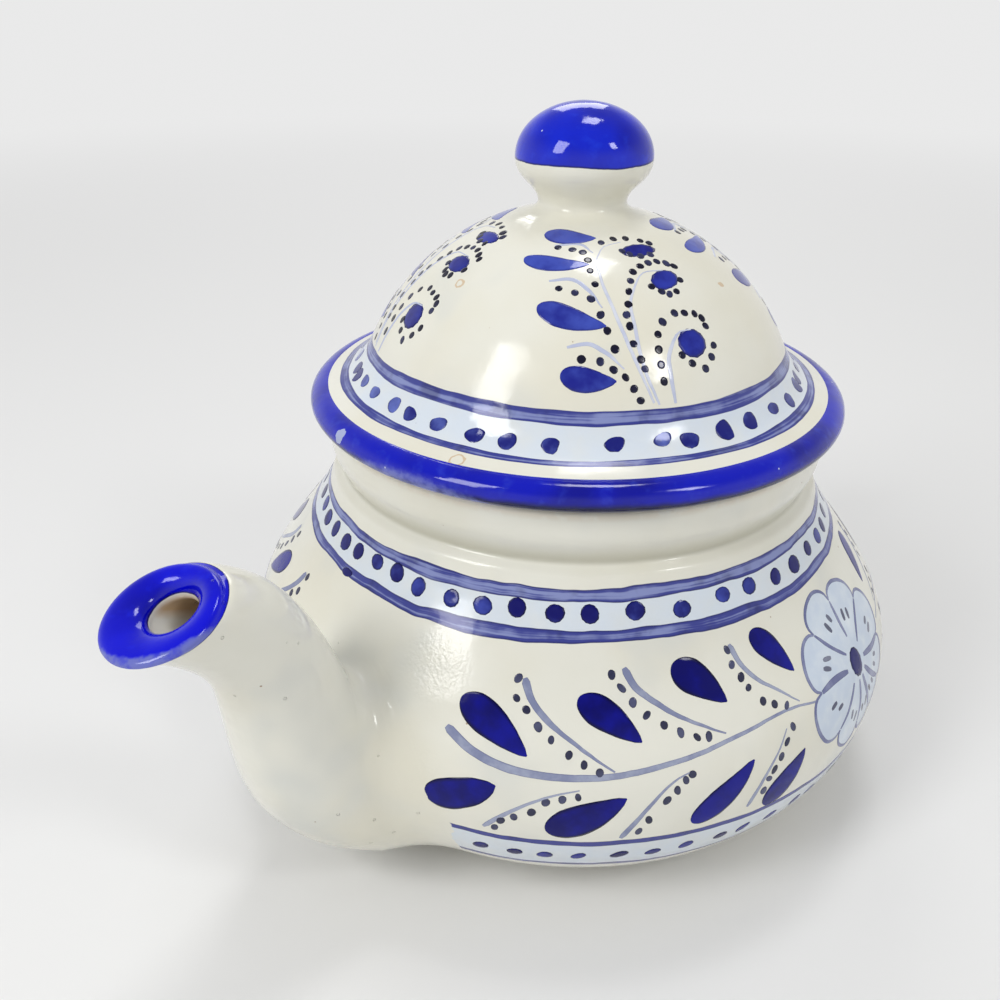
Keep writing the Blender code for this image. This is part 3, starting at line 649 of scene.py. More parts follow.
LID_DOTS = [(24.9, 137.6), (33.0, 137.4), (38.5, 137.1), (41.0, 136.0), (41.6, 134.5), (43.2, 132.5),
            (44.3, 127.8), (46.0, 125.3), (47.7, 122.3), (46.9, 118.9), (49.9, 117.5), (51.8, 115.5),
            (53.2, 113.3), (29.9, 131.7), (35.9, 131.2), (41.5, 130.3), (38.6, 120.7), (43.5, 120.3),
            (53.2, 123.0), (54.5, 120.4), (55.2, 118.7), (52.9, 125.9), (52.5, 127.7), (54.0, 129.3),
            (55.4, 131.3), (57.2, 132.8), (59.7, 134.1), (64.2, 134.8), (69.0, 135.1), (73.8, 135.1),
            (77.8, 134.6), (80.6, 134.0), (78.5, 131.9), (73.8, 130.4), (70.5, 130.2), (67.8, 130.7),
            (64.8, 131.7), (59.8, 116.3), (59.9, 119.2), (60.1, 121.7), (61.0, 124.2), (63.7, 126.1),
            (68.9, 127.2), (72.5, 126.9), (76.1, 126.5), (78.1, 125.6), (78.1, 124.2), (78.0, 120.8),
            (75.9, 119.0), (72.7, 117.3), (69.1, 118.6), (66.6, 120.3), (49.5, 138.4), (57.9, 138.8),
            (66.3, 138.7), (74.7, 138.2), (78.9, 137.7), (59.2, 137.1), (62.3, 136.6), (67.4, 136.2),
            (73.1, 136.2)]
LID_TURNS = (0.0, 88.0, 180.0, -92.0)


# Brushwork: strokes and dots laid on the glaze by geometry nodes

class Strokes:
    """Paths for a brush, each point with the brush's half width, how proud it lies, its ink and its share."""

    def __init__(self, wall, seed):
        self.wall, self.random = wall, random.Random(seed)
        self.paths = []

    def lay(self, azimuth, along, half, lift):
        share = np.linspace(0, 1, len(azimuth))
        ink = self.random.random()
        self.paths.append((self.wall.at(azimuth, along), half, 0 * share + lift, 0 * share + ink, share))

    def leaf(self, head, tip, half, bow=0.0, lift=0.05, point=0.12):
        """One press of a full brush: round where it lands and drawn out to a point of this share of its width."""
        s = np.linspace(0, 1, 26) ** 1.6
        way = 1.08 * s - 0.08
        azimuth = np.radians(head[0] + (tip[0] - head[0]) * way)
        along = self.wall.along(head[1]) + (self.wall.along(tip[1]) - self.wall.along(head[1])) * way
        along = along + bow * np.sin(np.pi * s)
        full = 0.36
        width = np.where(s < full, np.sqrt(np.clip(1 - ((full - s) / full) ** 2, 0, 1)),
                         1 - (1 - point) * np.clip((s - full) / (1 - full), 0, 1) ** 1.8)
        width = width * np.sqrt(1 - np.clip((s - 1) / (0.6 * point) + 1, 0, 1) ** 2)
        self.lay(azimuth, along, np.maximum(half * width, 0.16), lift)

    def stem(self, half, points, lift=0.042, both_ends=False):
        """A drawn line, full where the brush starts and thinning as it runs out."""
        azimuth, height = np.array(points, float).T
        along = self.wall.along(height)
        across = np.radians(azimuth) * self.wall.radius(along)
        run = run_of(np.stack([across, along], axis=1))
        marks = np.linspace(0, run[-1], max(8, int(run[-1] / 1.1)))
        azimuth, along = curve_through(run, np.radians(azimuth), marks), curve_through(run, along, marks)
        s = marks / run[-1]
        width = np.minimum(1, s / 0.03 + 0.55) * (1 - 0.78 * s ** 1.1)
        if both_ends:
            width = 0.35 + 0.65 * np.sin(np.pi * np.clip(s * 1.1 + 0.05, 0, 1)) ** 0.6
        self.lay(azimuth, along, half * width, lift)

    def local(self, half, centre, points, lift=0.06):
        """A line given in millimetres right and up from a centre on the wall."""
        middle = self.wall.along(centre[1])
        along = middle - np.array([y for _, y in points])
        azimuth = math.radians(centre[0]) + np.array([x for x, _ in points]) / self.wall.radius(along)
        s = np.linspace(0, 1, len(points))
        self.lay(azimuth, along, half * (0.55 + 0.45 * np.sin(np.pi * s) ** 0.5), lift)

    def mesh(self, name):
        points, edges, marks = [], [], {"half": [], "lift": [], "ink": [], "share": []}
        for place, half, lift, ink, share in self.paths:
            edges += [(len(points) + k, len(points) + k + 1) for k in range(len(place) - 1)]
            points += (place * MM).tolist()
            for key, values in zip(marks, (half * MM, lift * MM, ink, share)):
                marks[key] += np.asarray(values, float).tolist()
        return carrier(name, points, edges, marks)


def round_the_pot(azimuths, spacing, chance):
    """The measured marks of a ring, and past them others as evenly as the painter's hand set them."""
    gap = 360 - (azimuths[-1] - azimuths[0])
    count = round(gap / spacing)
    return azimuths + [azimuths[-1] + gap * k / count + chance.uniform(-0.9, 0.9) for k in range(1, count)]


class Dots:
    """Dots for a brush, each with its turn on the wall, its half sizes, how proud it lies and its ink."""

    def __init__(self, wall, seed):
        self.wall, self.random, self.rows = wall, random.Random(seed), []

    def dot(self, azimuth, height, across, up, lean=0.0, lift=0.05):
        around, along = np.array([math.radians(azimuth)]), np.array([float(self.wall.along(height))])
        place, facing = self.wall.at(around, along)[0], self.wall.facing_at(around, along)[0]
        sideways = Vector((-math.sin(around[0]), math.cos(around[0]), 0))
        facing = Vector(facing).normalized()
        frame_of = Matrix((sideways, facing.cross(sideways), facing)).transposed()
        aim = (frame_of @ Matrix.Rotation(math.radians(lean), 3, "Z")).to_quaternion()
        self.rows.append((place * MM, tuple(aim), (across * MM, up * MM, (across + up) / 2 * MM),
                          lift * MM, self.random.random()))

    def ring(self, azimuths, height, across, up, spacing, keep_out=0.0, sway=0.5, lean=0.0, lift=0.05):
        for azimuth in round_the_pot(azimuths, spacing, self.random):
            off = abs(signed(azimuth))
            size = [self.random.uniform(0.88, 1.1) for _ in range(2)]
            level = height + self.random.uniform(-sway, sway)
            tilt = lean + self.random.uniform(-18, 18)
            if off > keep_out and off < 180 - keep_out * 0.5:
                self.dot(azimuth, level, across * size[0], up * size[1], tilt, lift)

    def mesh(self, name):
        places, aims, sizes, lifts, inks = zip(*self.rows)
        thing = carrier(name, [tuple(p) for p in places], [], {"lift": lifts, "ink": inks,
                                                               "half": [size[2] for size in sizes]})
        set_marks(thing.data, {"aim": aims}, "QUATERNION")
        set_marks(thing.data, {"size": sizes}, "FLOAT_VECTOR", "vector")
        return thing


def canvas(name, wall, step, sides=SKIN_SIDES):
    """The outside of a glazed wall alone, for brushwork to be laid on."""
    azimuth = np.linspace(0, 2 * np.pi, sides, endpoint=False)
    rows = [(radius, height) for radius, height, _, _ in painted_rows(wall, step, first=1.0 * (wall is LID_WALL))]
    points = [((radius + thrown(a, height)) * MM * math.cos(a), (radius + thrown(a, height)) * MM * math.sin(a),
               height * MM) for radius, height in rows for a in azimuth]
    faces = sum((band(k * sides, (k + 1) * sides, sides, True) for k in range(len(rows) - 1)), [])
    thing = carrier(name, points, [], {}, faces)
    thing.data.shade_smooth()
    return thing


def put(tree, kind, inputs=None, **settings):
    """A node with its settings made and its inputs set or linked."""
    node = tree.nodes.new(kind)
    for key, value in settings.items():
        setattr(node, key, value)
    for key, value in (inputs or {}).items():
        if isinstance(value, Field):
            value = value.socket
        if isinstance(value, bpy.types.NodeSocket):
            tree.links.new(value, node.inputs[key])
        else:
            node.inputs[key].default_value = value
    return node


def read(tree, kind, output, inputs=None, **settings):
    """One output of a new node, as a value to reckon with."""
    return Field(tree, put(tree, kind, inputs, **settings).outputs[output])


class Field:
    """The value of a node's socket, a number or a vector; each sum on it adds a math node to its tree."""

    def __init__(self, tree, socket):
        self.tree, self.socket = tree, socket

    def math(self, operation, *values, clamp=False):
        inputs = dict(enumerate(values))
        if self.socket.type == "VALUE":
            return read(self.tree, "ShaderNodeMath", "Value", inputs, operation=operation, use_clamp=clamp)
        output = "Value" if operation in ("DOT_PRODUCT", "LENGTH") else "Vector"
        return read(self.tree, "ShaderNodeVectorMath", output, inputs, operation=operation)

    def __add__(self, other):
        return self.math("ADD", self, other)

    def __sub__(self, other):
        return self.math("SUBTRACT", self, other)

    def __rsub__(self, other):
        return self.math("SUBTRACT", other, self)

    def __mul__(self, other):
        return self.math("MULTIPLY", self, other)

    def __truediv__(self, other):
        return self.math("DIVIDE", self, other)

    def __rtruediv__(self, other):
        return self.math("DIVIDE", other, self)

    def __abs__(self):
        return self.math("ABSOLUTE", self)

    def length(self):
        return self.math("LENGTH", self)

    def dot(self, other):
        return self.math("DOT_PRODUCT", self, other)

    def times_clamped(self, factor):
        """Times a factor and held between 0 and 1."""
        return self.math("MULTIPLY", self, factor, clamp=True)

    def scaled(self, factor):
        return read(self.tree, "ShaderNodeVectorMath", "Vector", {0: self, "Scale": factor}, operation="SCALE")

    def eased(self, low, high, to_low=0.0, to_high=1.0):
        """Runs smoothly from one value to the other as this one goes from low to high."""
        return read(self.tree, "ShaderNodeMapRange", "Result", {"Value": self, "From Min": low, "From Max": high,
                    "To Min": to_low, "To Max": to_high}, interpolation_type="SMOOTHSTEP")


def brush_tree(name, sides=0):
    """Tree that turns paths, or with no sides points, into closed marks that lie on a canvas of glaze."""
    tree = bpy.data.node_groups.new(name, "GeometryNodeTree")
    face = tree.interface
    face.new_socket("Geometry", in_out="OUTPUT", socket_type="NodeSocketGeometry")
    face.new_socket("Geometry", in_out="INPUT", socket_type="NodeSocketGeometry")
    for label, kind, value in (("Glazed wall", "Object", None), ("Paint", "Material", None),
                               ("Unsteady hand", "Float", 0.25 * MM), ("Unsteady every", "Float", 2.5 * MM),
                               ("Lean either way", "Float", 0.25), ("Seed", "Int", 5)):
        socket = face.new_socket(label, in_out="INPUT", socket_type="NodeSocket" + kind)
        if value is not None:
            socket.default_value = value
    given = {socket.name: Field(tree, socket) for socket in put(tree, "NodeGroupInput").outputs if socket.name}

    def named(key, kind="FLOAT"):
        return read(tree, "GeometryNodeInputNamedAttribute", "Attribute", {"Name": key}, data_type=kind)

    wall = read(tree, "GeometryNodeObjectInfo", "Geometry", {"Object": given["Glazed wall"]})
    half = named("half")
    if sides:
        path = read(tree, "GeometryNodeMeshToCurve", "Curve", {"Mesh": given["Geometry"]})
        path = read(tree, "GeometryNodeSetCurveRadius", "Curve", {"Curve": path, "Radius": half})
        ring = read(tree, "GeometryNodeCurvePrimitiveCircle", "Curve", {"Resolution": sides, "Radius": 1.0})
        shape = put(tree, "GeometryNodeCurveToMesh", {"Curve": path, "Profile Curve": ring, "Fill Caps": True})
        if "Scale" in shape.inputs:
            tree.links.new(half.socket, shape.inputs["Scale"])
        shape = shape.outputs["Mesh"]
    else:
        ball = read(tree, "GeometryNodeMeshUVSphere", "Mesh", {"Segments": 12, "Rings": 6, "Radius": 1.0})
        lean = put(tree, "FunctionNodeRandomValue", data_type="FLOAT")
        either_way = given["Lean either way"]
        for key, value in (("Min", either_way * -1.0), ("Max", either_way)):
            tree.links.new(value.socket, next(s for s in lean.inputs if s.name == key and s.type == "VALUE"))
        tree.links.new(given["Seed"].socket, lean.inputs["Seed"])
        lean = next(s for s in lean.outputs if s.type == "VALUE" and s.enabled)
        turn = read(tree, "FunctionNodeAxisAngleToRotation", "Rotation", {"Axis": (0, 0, 1), "Angle": lean})
        aim = read(tree, "FunctionNodeRotateRotation", "Rotation",
                   {"Rotation": named("aim", "QUATERNION"), "Rotate By": turn}, rotation_space="LOCAL")
        shape = read(tree, "GeometryNodeInstanceOnPoints", "Instances",
                     {"Points": given["Geometry"], "Instance": ball, "Rotation": aim,
                      "Scale": named("size", "FLOAT_VECTOR")})
        shape = read(tree, "GeometryNodeRealizeInstances", "Geometry", {"Geometry": shape})
    place = read(tree, "GeometryNodeInputPosition", "Position")
    shake = read(tree, "ShaderNodeTexNoise", "Color",
                 {"Vector": place, "Scale": 1.0 / given["Unsteady every"], "Detail": 1.5}) - (0.5, 0.5, 0.5)
    shape = read(tree, "GeometryNodeSetPosition", 0,
                 {"Geometry": shape, "Offset": shake.scaled(given["Unsteady hand"])})
    near = read(tree, "GeometryNodeProximity", "Position", {0: wall}, target_element="FACES")
    facing = read(tree, "GeometryNodeSampleNearestSurface", "Value",
                  {"Mesh": wall, "Value": read(tree, "GeometryNodeInputNormal", "Normal")}, data_type="FLOAT_VECTOR")
    above = (place - near).dot(facing) / half
    above = read(tree, "ShaderNodeClamp", "Result", {"Value": above, "Min": -1.0, "Max": 1.0})
    brim = above.math("SQRT", above.math("SUBTRACT", 1.0, above * above, clamp=True))
    shape = read(tree, "GeometryNodeStoreNamedAttribute", "Geometry",
                 {"Geometry": shape, "Name": "brim", "Value": brim}, data_type="FLOAT", domain="POINT")
    proud = named("lift") * above.times_clamped(3.0)
    sunk = above.times_clamped(-4.0) * (-SUNK_UNDER_GLAZE * MM)
    shape = read(tree, "GeometryNodeSetPosition", 0,
                 {"Geometry": shape, "Position": near + facing.scaled(proud + sunk)})
    shape = read(tree, "GeometryNodeSetShadeSmooth", 0, {"Geometry": shape})
    shape = read(tree, "GeometryNodeRealizeInstances", "Geometry", {"Geometry": shape})
    shape = read(tree, "GeometryNodeSetMaterial", 0, {"Geometry": shape, "Material": given["Paint"]})
    put(tree, "NodeGroupOutput", {"Geometry": shape})
    return tree


def paint(thing, tree, **inputs):
    """Runs a brush tree on a carrier and keeps the result as a plain closed mesh."""
    brush = thing.modifiers.new("brush", "NODES")
    brush.node_group = tree
    for item in tree.interface.items_tree:
        label = item.name.replace(" ", "_").lower()
        if item.item_type == "SOCKET" and item.in_out == "INPUT" and label in inputs:
            brush[item.identifier] = inputs[label]
    settle(thing)
    return thing


# Glazes and paints

def tone(red, green, blue):
    """A colour as it looks on screen, from 0 to 255, as the linear value that a shader takes."""
    return tuple(c / 12.92 if c <= 0.04045 else ((c + 0.055) / 1.055) ** 2.4
                 for c in (red / 255, green / 255, blue / 255)) + (1.0,)


WHITE, WHITE_WARM, WHITE_GREY = tone(230, 229, 218), tone(226, 223, 207), tone(217, 218, 211)
# The second colour here is painted shade for the crease under the neck
WASH, CREASE_SHADE = tone(214, 223, 233), tone(190, 188, 172)
SLATE, SLATE_PALE, SLATE_DARK = tone(58, 65, 144), tone(132, 142, 192), tone(30, 31, 80)
STEM, STEM_PALE, STEM_DARK = tone(126, 133, 166), tone(160, 167, 190), tone(84, 89, 128)
PETAL_LINE, PETAL_LINE_PALE, PETAL_LINE_DARK = tone(104, 110, 152), tone(146, 152, 184), tone(70, 74, 112)
ULTRAMARINE, INK, BRIGHT = tone(1, 1, 98), tone(3, 2, 36), tone(4, 8, 138)
LIP_BLUES = tone(0, 4, 206), tone(0, 0, 158), tone(14, 30, 220)
# The knob's cobalt is mixed lighter than the rim's: its own blue, with painted light for the light that falls on its
# top
KNOB_BLUES_AND_LIGHT = tone(6, 34, 204), tone(4, 20, 168), tone(26, 60, 218)
RIM_BLUES = tone(4, 18, 182), tone(4, 8, 136), tone(44, 64, 196)
COBALT_THIN, COBALT_CHIPPED = tone(108, 116, 192), tone(164, 174, 212)
PETAL, PETAL_DEEP = tone(222, 230, 236), tone(200, 212, 228)
CLAY, CLAY_DARK, CLAY_GRIT = tone(205, 176, 138), tone(160, 122, 88), tone(120, 88, 62)
PAPER, PAPER_GREY = tone(233, 233, 232), tone(229, 229, 229)
BACKDROP = 0.82
GLAZE_IOR = 1.46


class Coat:
    """A material in the making: its shader, the object's own coordinates and the colour laid on so far.

    Sizes of noise, pits and blemishes are in millimetres."""

    def __init__(self, name, roughness=0.14):
        self.material = bpy.data.materials.new(name)
        self.material.use_nodes = True
        self.tree = self.material.node_tree
        self.tree.nodes.clear()
        self.shader = put(self.tree, "ShaderNodeBsdfPrincipled", {"Roughness": roughness, "IOR": GLAZE_IOR})
        self.output = put(self.tree, "ShaderNodeOutputMaterial", {"Surface": self.shader.outputs["BSDF"]})
        self.spot = read(self.tree, "ShaderNodeTexCoord", "Object")
        self.colour = None

    def attribute(self, key):
        return read(self.tree, "ShaderNodeAttribute", "Fac", attribute_name=key)

    def noise(self, size, detail=2.0, spot=None):
        """Soft noise from 0 to 1 whose lumps have about this size."""
        return read(self.tree, "ShaderNodeTexNoise", "Fac",
                    {"Vector": spot or self.spot, "Scale": 1 / (size * MM), "Detail": detail})

    def cloud(self, size, detail=2.0, spot=None):
        """The same noise from -0.5 to 0.5."""
        return self.noise(size, detail, spot) - 0.5

    def patches(self, size, detail, *reach):
        """The same noise drawn apart into patches with soft edges."""
        return self.noise(size, detail).eased(*reach)

    def pits(self, apart, size, share):
        """Round pits or specks of a size, in this share of the cells that lie so far apart."""
        cell = put(self.tree, "ShaderNodeTexVoronoi",
                   {"Vector": self.spot, "Scale": 1 / (apart * MM), "Randomness": 1.0})
        near = Field(self.tree, cell.outputs["Distance"]).eased(size / apart, size / apart * 0.55)
        chosen = read(self.tree, "ShaderNodeSeparateColor", "Red", {"Color": cell.outputs["Color"]})
        return near * chosen.math("LESS_THAN", chosen, share)

    def blemish(self, place, size, hollow=0.0, soft=0.15):
        """Share of one mark at a place on the pot: a spot, or a ring if hollow."""
        away = (self.spot - tuple(float(c) * MM for c in place)).length() / MM + self.cloud(1.6) * 1.3
        if hollow:
            away = abs(away - size) + (size - hollow)
        return away.eased(size, size - soft)

    def mix(self, share, one, other):
        return read(self.tree, "ShaderNodeMix", 2, {0: share, 6: one, 7: other}, data_type="RGBA")

    def lay(self, share, colour):
        """Lays this share of a colour over what is there."""
        self.colour = self.mix(share, self.colour, colour)

    def lay_white(self):
        """Tin white with warm and grey drifts, and what the kiln left in it; gives back its pinholes."""
        self.colour = self.mix(self.patches(38, 3, 0.38, 0.68), WHITE, WHITE_WARM)
        self.lay(self.patches(21, 2, 0.5, 0.8), WHITE_GREY)
        pin = self.pits(6.5, 0.28, 0.25)
        self.lay(pin * 0.75, CLAY_DARK)
        self.lay(self.pits(31, 0.9, 0.33) * 0.55, CLAY)
        return pin

    def fire(self, pin, roughness=(0.1, 0.2), grainy=(), bubbly=0.0):
        """Uneven gloss, the thrower's rings, orange peel, pinholes, bubbles, and where the glaze crawled."""
        shader, link = self.shader.inputs, self.tree.links.new
        link(self.colour.socket, shader["Base Color"])
        link(self.patches(9, 3, 0.35, 0.7, *roughness).socket, shader["Roughness"])
        height = self.cloud(13) * 0.9 + self.cloud(4.5, 1, self.spot * (0.22, 0.22, 1.0)) * 0.55
        height = height + self.cloud(1.7, 1) * 0.11 - pin * 0.45
        if bubbly:
            height = height + self.pits(4.5, 0.42, bubbly) * 1.6
        for place, size in grainy:
            height = height + self.cloud(0.8, 1) * (self.blemish(place, size, soft=size * 0.7) * 0.6)
        bump = put(self.tree, "ShaderNodeBump", {"Height": height, "Strength": 0.8, "Distance": 0.28 * MM})
        link(bump.outputs["Normal"], shader["Normal"])
        return self.material


def banded_glaze(name, lines, washes, gaps=(), kiln_marks=(), waves=0.4, pooled_edge=0.2, grainy=(), shaded_creases=()):
    """White glaze with painted lines and pale washes between them, wandering in waves as the wheel turned.

    A line is (along, its two widths, how watery, broken), a wash (from, to, broken); a gap is a span of turn,
    in degrees, that broken ones stop at. Painted shade, a greyer glaze colour, darkens a crease (start, deepest, end)."""
    coat = Coat(name)
    along, turn = coat.attribute("along"), coat.attribute("turn")
    pin = coat.lay_white()
    for mark in kiln_marks:
        coat.lay(coat.blemish(*mark) * 0.75, CLAY)
    where = along + (coat.cloud(42, 1) * 1.5 + coat.cloud(12) * waves)
    # painted shade: the glaze colour is darkened down into the crease, where shade falls
    for start, low, end in shaded_creases:
        coat.lay(along.eased(start, low, 0, 0.85) * along.eased(end, low), CREASE_SHADE)
    ragged = turn + coat.cloud(4) * 3.0
    open_turn = 1.0
    for low, high in gaps:
        open_turn = open_turn - ragged.eased(low - 0.4, low) * ragged.eased(high + 0.4, high)
    for low, high, broken in washes:
        share = where.eased(low - 0.3, low + 0.3) * where.eased(high + 0.3, high - 0.3)
        share = share * coat.patches(7, 3, 0.2, 0.7, 0.62, 1)
        coat.lay(share * open_turn if broken else share, WASH)
    grain = put(coat.tree, "ShaderNodeCombineXYZ", {"X": turn * 0.03, "Y": where * 1.6}).outputs["Vector"]
    streak = read(coat.tree, "ShaderNodeTexNoise", "Fac", {"Vector": grain, "Scale": 1.0, "Detail": 2.0})
    facing = abs(coat.spot.dot((*ray(PAINTER_AZIMUTH), 0.0)))
    for centre, (width, side_width), watery, broken in lines:
        load = coat.cloud(16) * 0.9 + 1.0
        far = abs(where - centre) / (load * facing.eased(24 * MM, 60 * MM, side_width / 2, width / 2))
        share = far.eased(1.03, 0.94)
        thin = streak * 0.6 + coat.noise(7, 3) * 0.4 + far.eased(0.2, 0.9, -0.05, 0.12)
        drawn = coat.mix(thin.eased(0.4 + watery, 0.58 + watery), SLATE_PALE, SLATE)
        drawn = coat.mix(coat.patches(6, 3, 0.52, 0.7) * 0.45, drawn, SLATE_DARK)
        drawn = coat.mix(far.eased(0.62, 0.95, 0, pooled_edge), drawn, SLATE_DARK)
        coat.lay(share * open_turn if broken else share, drawn)
    coat.lay(coat.attribute("bare") * coat.patches(3, 3, 0.3, 0.55), CLAY)
    return coat.fire(pin, grainy=grainy)


def cobalt_glaze(name, blues, edge_height=None, mark=None, low=None, chip=None, pale_crescent=()):
    """Cobalt laid on thick, thin and paler where a blemish puts a crescent, and with painted shade below a low height,
    where a lower edge faces down; under an edge height, or off a span of along, the glaze is white."""
    coat = Coat(name)
    height = read(coat.tree, "ShaderNodeSeparateXYZ", "Z", {"Vector": coat.spot}) / MM
    pin = coat.lay_white()
    white = coat.colour
    coat.colour = coat.mix(coat.patches(17, 2, 0.4, 0.72), blues[0], blues[1])
    coat.lay(coat.patches(3, 2, 0.52, 0.85, 0, 0.5), blues[2])
    if low is not None:
        # painted shade: ink laid over the cobalt below the low height, where the rim's lower edge faces down
        coat.lay((height + coat.cloud(8) * 1.6).eased(low + 0.9, low - 0.7, 0, 0.9), INK)
    # a crescent of thin, paler cobalt: wear on the lip, a paler band on the rim's lower half
    if pale_crescent:
        coat.lay(coat.blemish(*pale_crescent) * coat.patches(2.6, 3, 0.35, 0.6, 0.4, 0.95), COBALT_THIN)
    if chip is not None:
        coat.lay(coat.blemish(chip, RIM_CHIP_SIZE), COBALT_CHIPPED)
    coat.lay(coat.pits(4.2, 0.26, 0.3) * 0.8, WASH)
    if edge_height is not None or mark is not None:
        wander = coat.cloud(13, 1) * 1.9 + coat.cloud(2.4) * 0.3
        if mark is None:
            over = height + wander - edge_height
        else:
            where = coat.attribute("along") + wander
            over = where.math("MINIMUM", where - mark[0], mark[1] - where)
        coat.lay(over.eased(0.55, 0.1, 0, 0.75), INK)
        coat.colour = coat.mix(over.eased(-0.08, 0.08), white, coat.colour)
        coat.lay(coat.attribute("bare"), CLAY)
    return coat.fire(pin, (0.06, 0.15), bubbly=0.9 if mark else 0.0)


def brush_paint(name, pale, full, edge, edge_share=0.7, streaky=0.0, fades=0.0, shine=0.5):
    """Paint sunk into the glaze: fuller where it pooled, darker at its brim, paler where the brush ran dry."""
    coat = Coat(name)
    coat.shader.inputs["Specular IOR Level"].default_value = shine
    drift = (coat.attribute("ink") - 0.5) * 0.75 + coat.cloud(4.5, 3) * 1.5 + 0.62
    if fades:
        drift = drift - coat.attribute("share") * fades
    if streaky:
        drift = drift + coat.cloud(1.1, 2) * streaky
    coat.colour = coat.mix(drift.eased(0.05, 0.85), pale, full)
    coat.lay(coat.attribute("brim").eased(0.72, 0.98, 0, edge_share), edge)
    pin = coat.pits(5.5, 0.2, 0.2)
    coat.lay(pin * 0.6, WASH)
    return coat.fire(pin, (0.07, 0.16))


def clay_body(name):
    """Unglazed earthenware where the pot stood in the kiln."""
    coat = Coat(name, 0.8)
    coat.colour = coat.mix(coat.patches(6, 4, 0.35, 0.65), CLAY, CLAY_DARK)
    grit = coat.pits(1.6, 0.3, 0.5)
    coat.lay(grit * 0.5, CLAY_GRIT)
    return coat.fire(grit, (0.7, 0.9))


def floor_paper(name):
    """Pale paper that keeps the pot's shadow near by and runs into the backdrop's own paleness further off."""
    paper = Coat(name, 0.6)
    colour = paper.mix(paper.noise(900, 2), PAPER, PAPER_GREY)
    paper.tree.links.new(colour.socket, paper.shader.inputs["Base Color"])
    glow = put(paper.tree, "ShaderNodeEmission", {"Color": (1, 1, 1, 1), "Strength": BACKDROP}).outputs["Emission"]
    both = put(paper.tree, "ShaderNodeMixShader", {0: paper.spot.length().eased(0.25, 1.4),
                                                   1: paper.shader.outputs["BSDF"], 2: glow}).outputs["Shader"]
    paper.tree.links.new(both, paper.output.inputs["Surface"])
    return paper.material


# The decoration, laid out spray by spray

def petal_edge(angle, petals):
    """Radius of the flower's scalloped edge at an angle, and how near that is to a seam between petals."""
    for k, (middle, reach) in enumerate(petals):
        off = signed(angle - middle)
        other, other_reach = petals[k - 1 if off > 0 else (k + 1) % len(petals)]
        half = abs(signed(other - middle)) / 2
        if abs(off) <= half + 1e-6:
            seam = 0.83 * min(reach, other_reach)
            return seam + (reach - seam) * (1 - abs(off / half) ** 2.4) ** 0.6, abs(off / half)
    return petals[0][1], 0.0


def flower_patch(name, wall, centre, petals, flip):
    """The flower's pale wash, one thin closed patch that lies on the wall."""
    spokes, shares = 200, tuple(np.linspace(0, 0.975, 20)[1:]) + (1.0,)
    middle = float(wall.along(centre[1]))
    across, down, lifts, marks = [0.0], [0.0], [WASH_PROUD], {"brim": [0.0], "share": [0.0], "ink": [0.5]}
    for share in shares:
        for angle in np.arange(spokes) * 360 / spokes:
            reach, seam = petal_edge(angle, petals)
            to_side, up = ray(angle)
            across.append(flip * share * reach * to_side)
            down.append(-share * reach * up)
            lifts.append(WASH_PROUD if share < 1 else -0.1)
            marks["brim"].append(max(seam ** 5 * share, share ** 7))
            marks["share"].append(share)
            marks["ink"].append(0.5)
    across, down, lifts = across + [0.0], down + [0.0], lifts + [-0.5]
    for key, value in (("brim", 0.0), ("share", 0.0), ("ink", 0.5)):
        marks[key].append(value)
    along = middle + np.array(down)
    azimuth = math.radians(centre[0]) + np.array(across) / wall.radius(along)
    faces = [(0, 1 + i, 1 + (i + 1) % spokes) for i in range(spokes)]
    for k in range(len(shares) - 1):
        faces += band(1 + k * spokes, 1 + (k + 1) * spokes, spokes, True)
    last = 1 + (len(shares) - 1) * spokes
    faces += [(last + i, len(along) - 1, last + (i + 1) % spokes) for i in range(spokes)]
    return piece(name, wall.at(azimuth, along, np.array(lifts)), faces, marks)


def draw_flower(lines, ticks, centre, petals, flip):
    """Petal outlines, the seams between them and two ticks in each."""
    chance = lines.random
    for k, (middle, reach) in enumerate(petals):
        seam, start = (middle + signed(petals[other % len(petals)][0] - middle) / 2 for other in (k + 1, k - 1))
        edge = []
        for turn in np.linspace(start, start + signed(seam - start), 22):
            (across, up), drawn = ray(turn), petal_edge(turn, petals)[0] - 0.25
            edge.append((flip * drawn * across, drawn * up))
        lines.local(chance.uniform(0.45, 0.62), centre, edge)
        reach_seam = petal_edge(seam, petals)[0]
        across, up = ray(seam)
        way = (flip * across, up)
        bow = chance.uniform(-0.7, 0.7)
        spine = [(way[0] * r - way[1] * bow * math.sin(math.pi * t), way[1] * r + way[0] * bow * math.sin(math.pi * t))
                 for t, r in zip(np.linspace(0, 1, 10), np.linspace(chance.uniform(4, 6.5), reach_seam - 0.5, 10))]
        lines.local(chance.uniform(0.35, 0.85), centre, spine, lift=0.066)
        for side in (-1, 1):
            (lean_across, lean_up), (across, up) = ray(middle + chance.uniform(-14, 14)), ray(middle)
            away = reach * chance.uniform(0.56, 0.66)
            hub = (away * across - side * 1.15 * lean_up, away * up + side * 1.15 * lean_across)
            half = chance.uniform(1.0, 1.6)
            ticks.local(0.6, centre, [(flip * (hub[0] + half * s * lean_across), hub[1] + half * s * lean_up)
                                      for s in np.linspace(-1, 1, 6)])


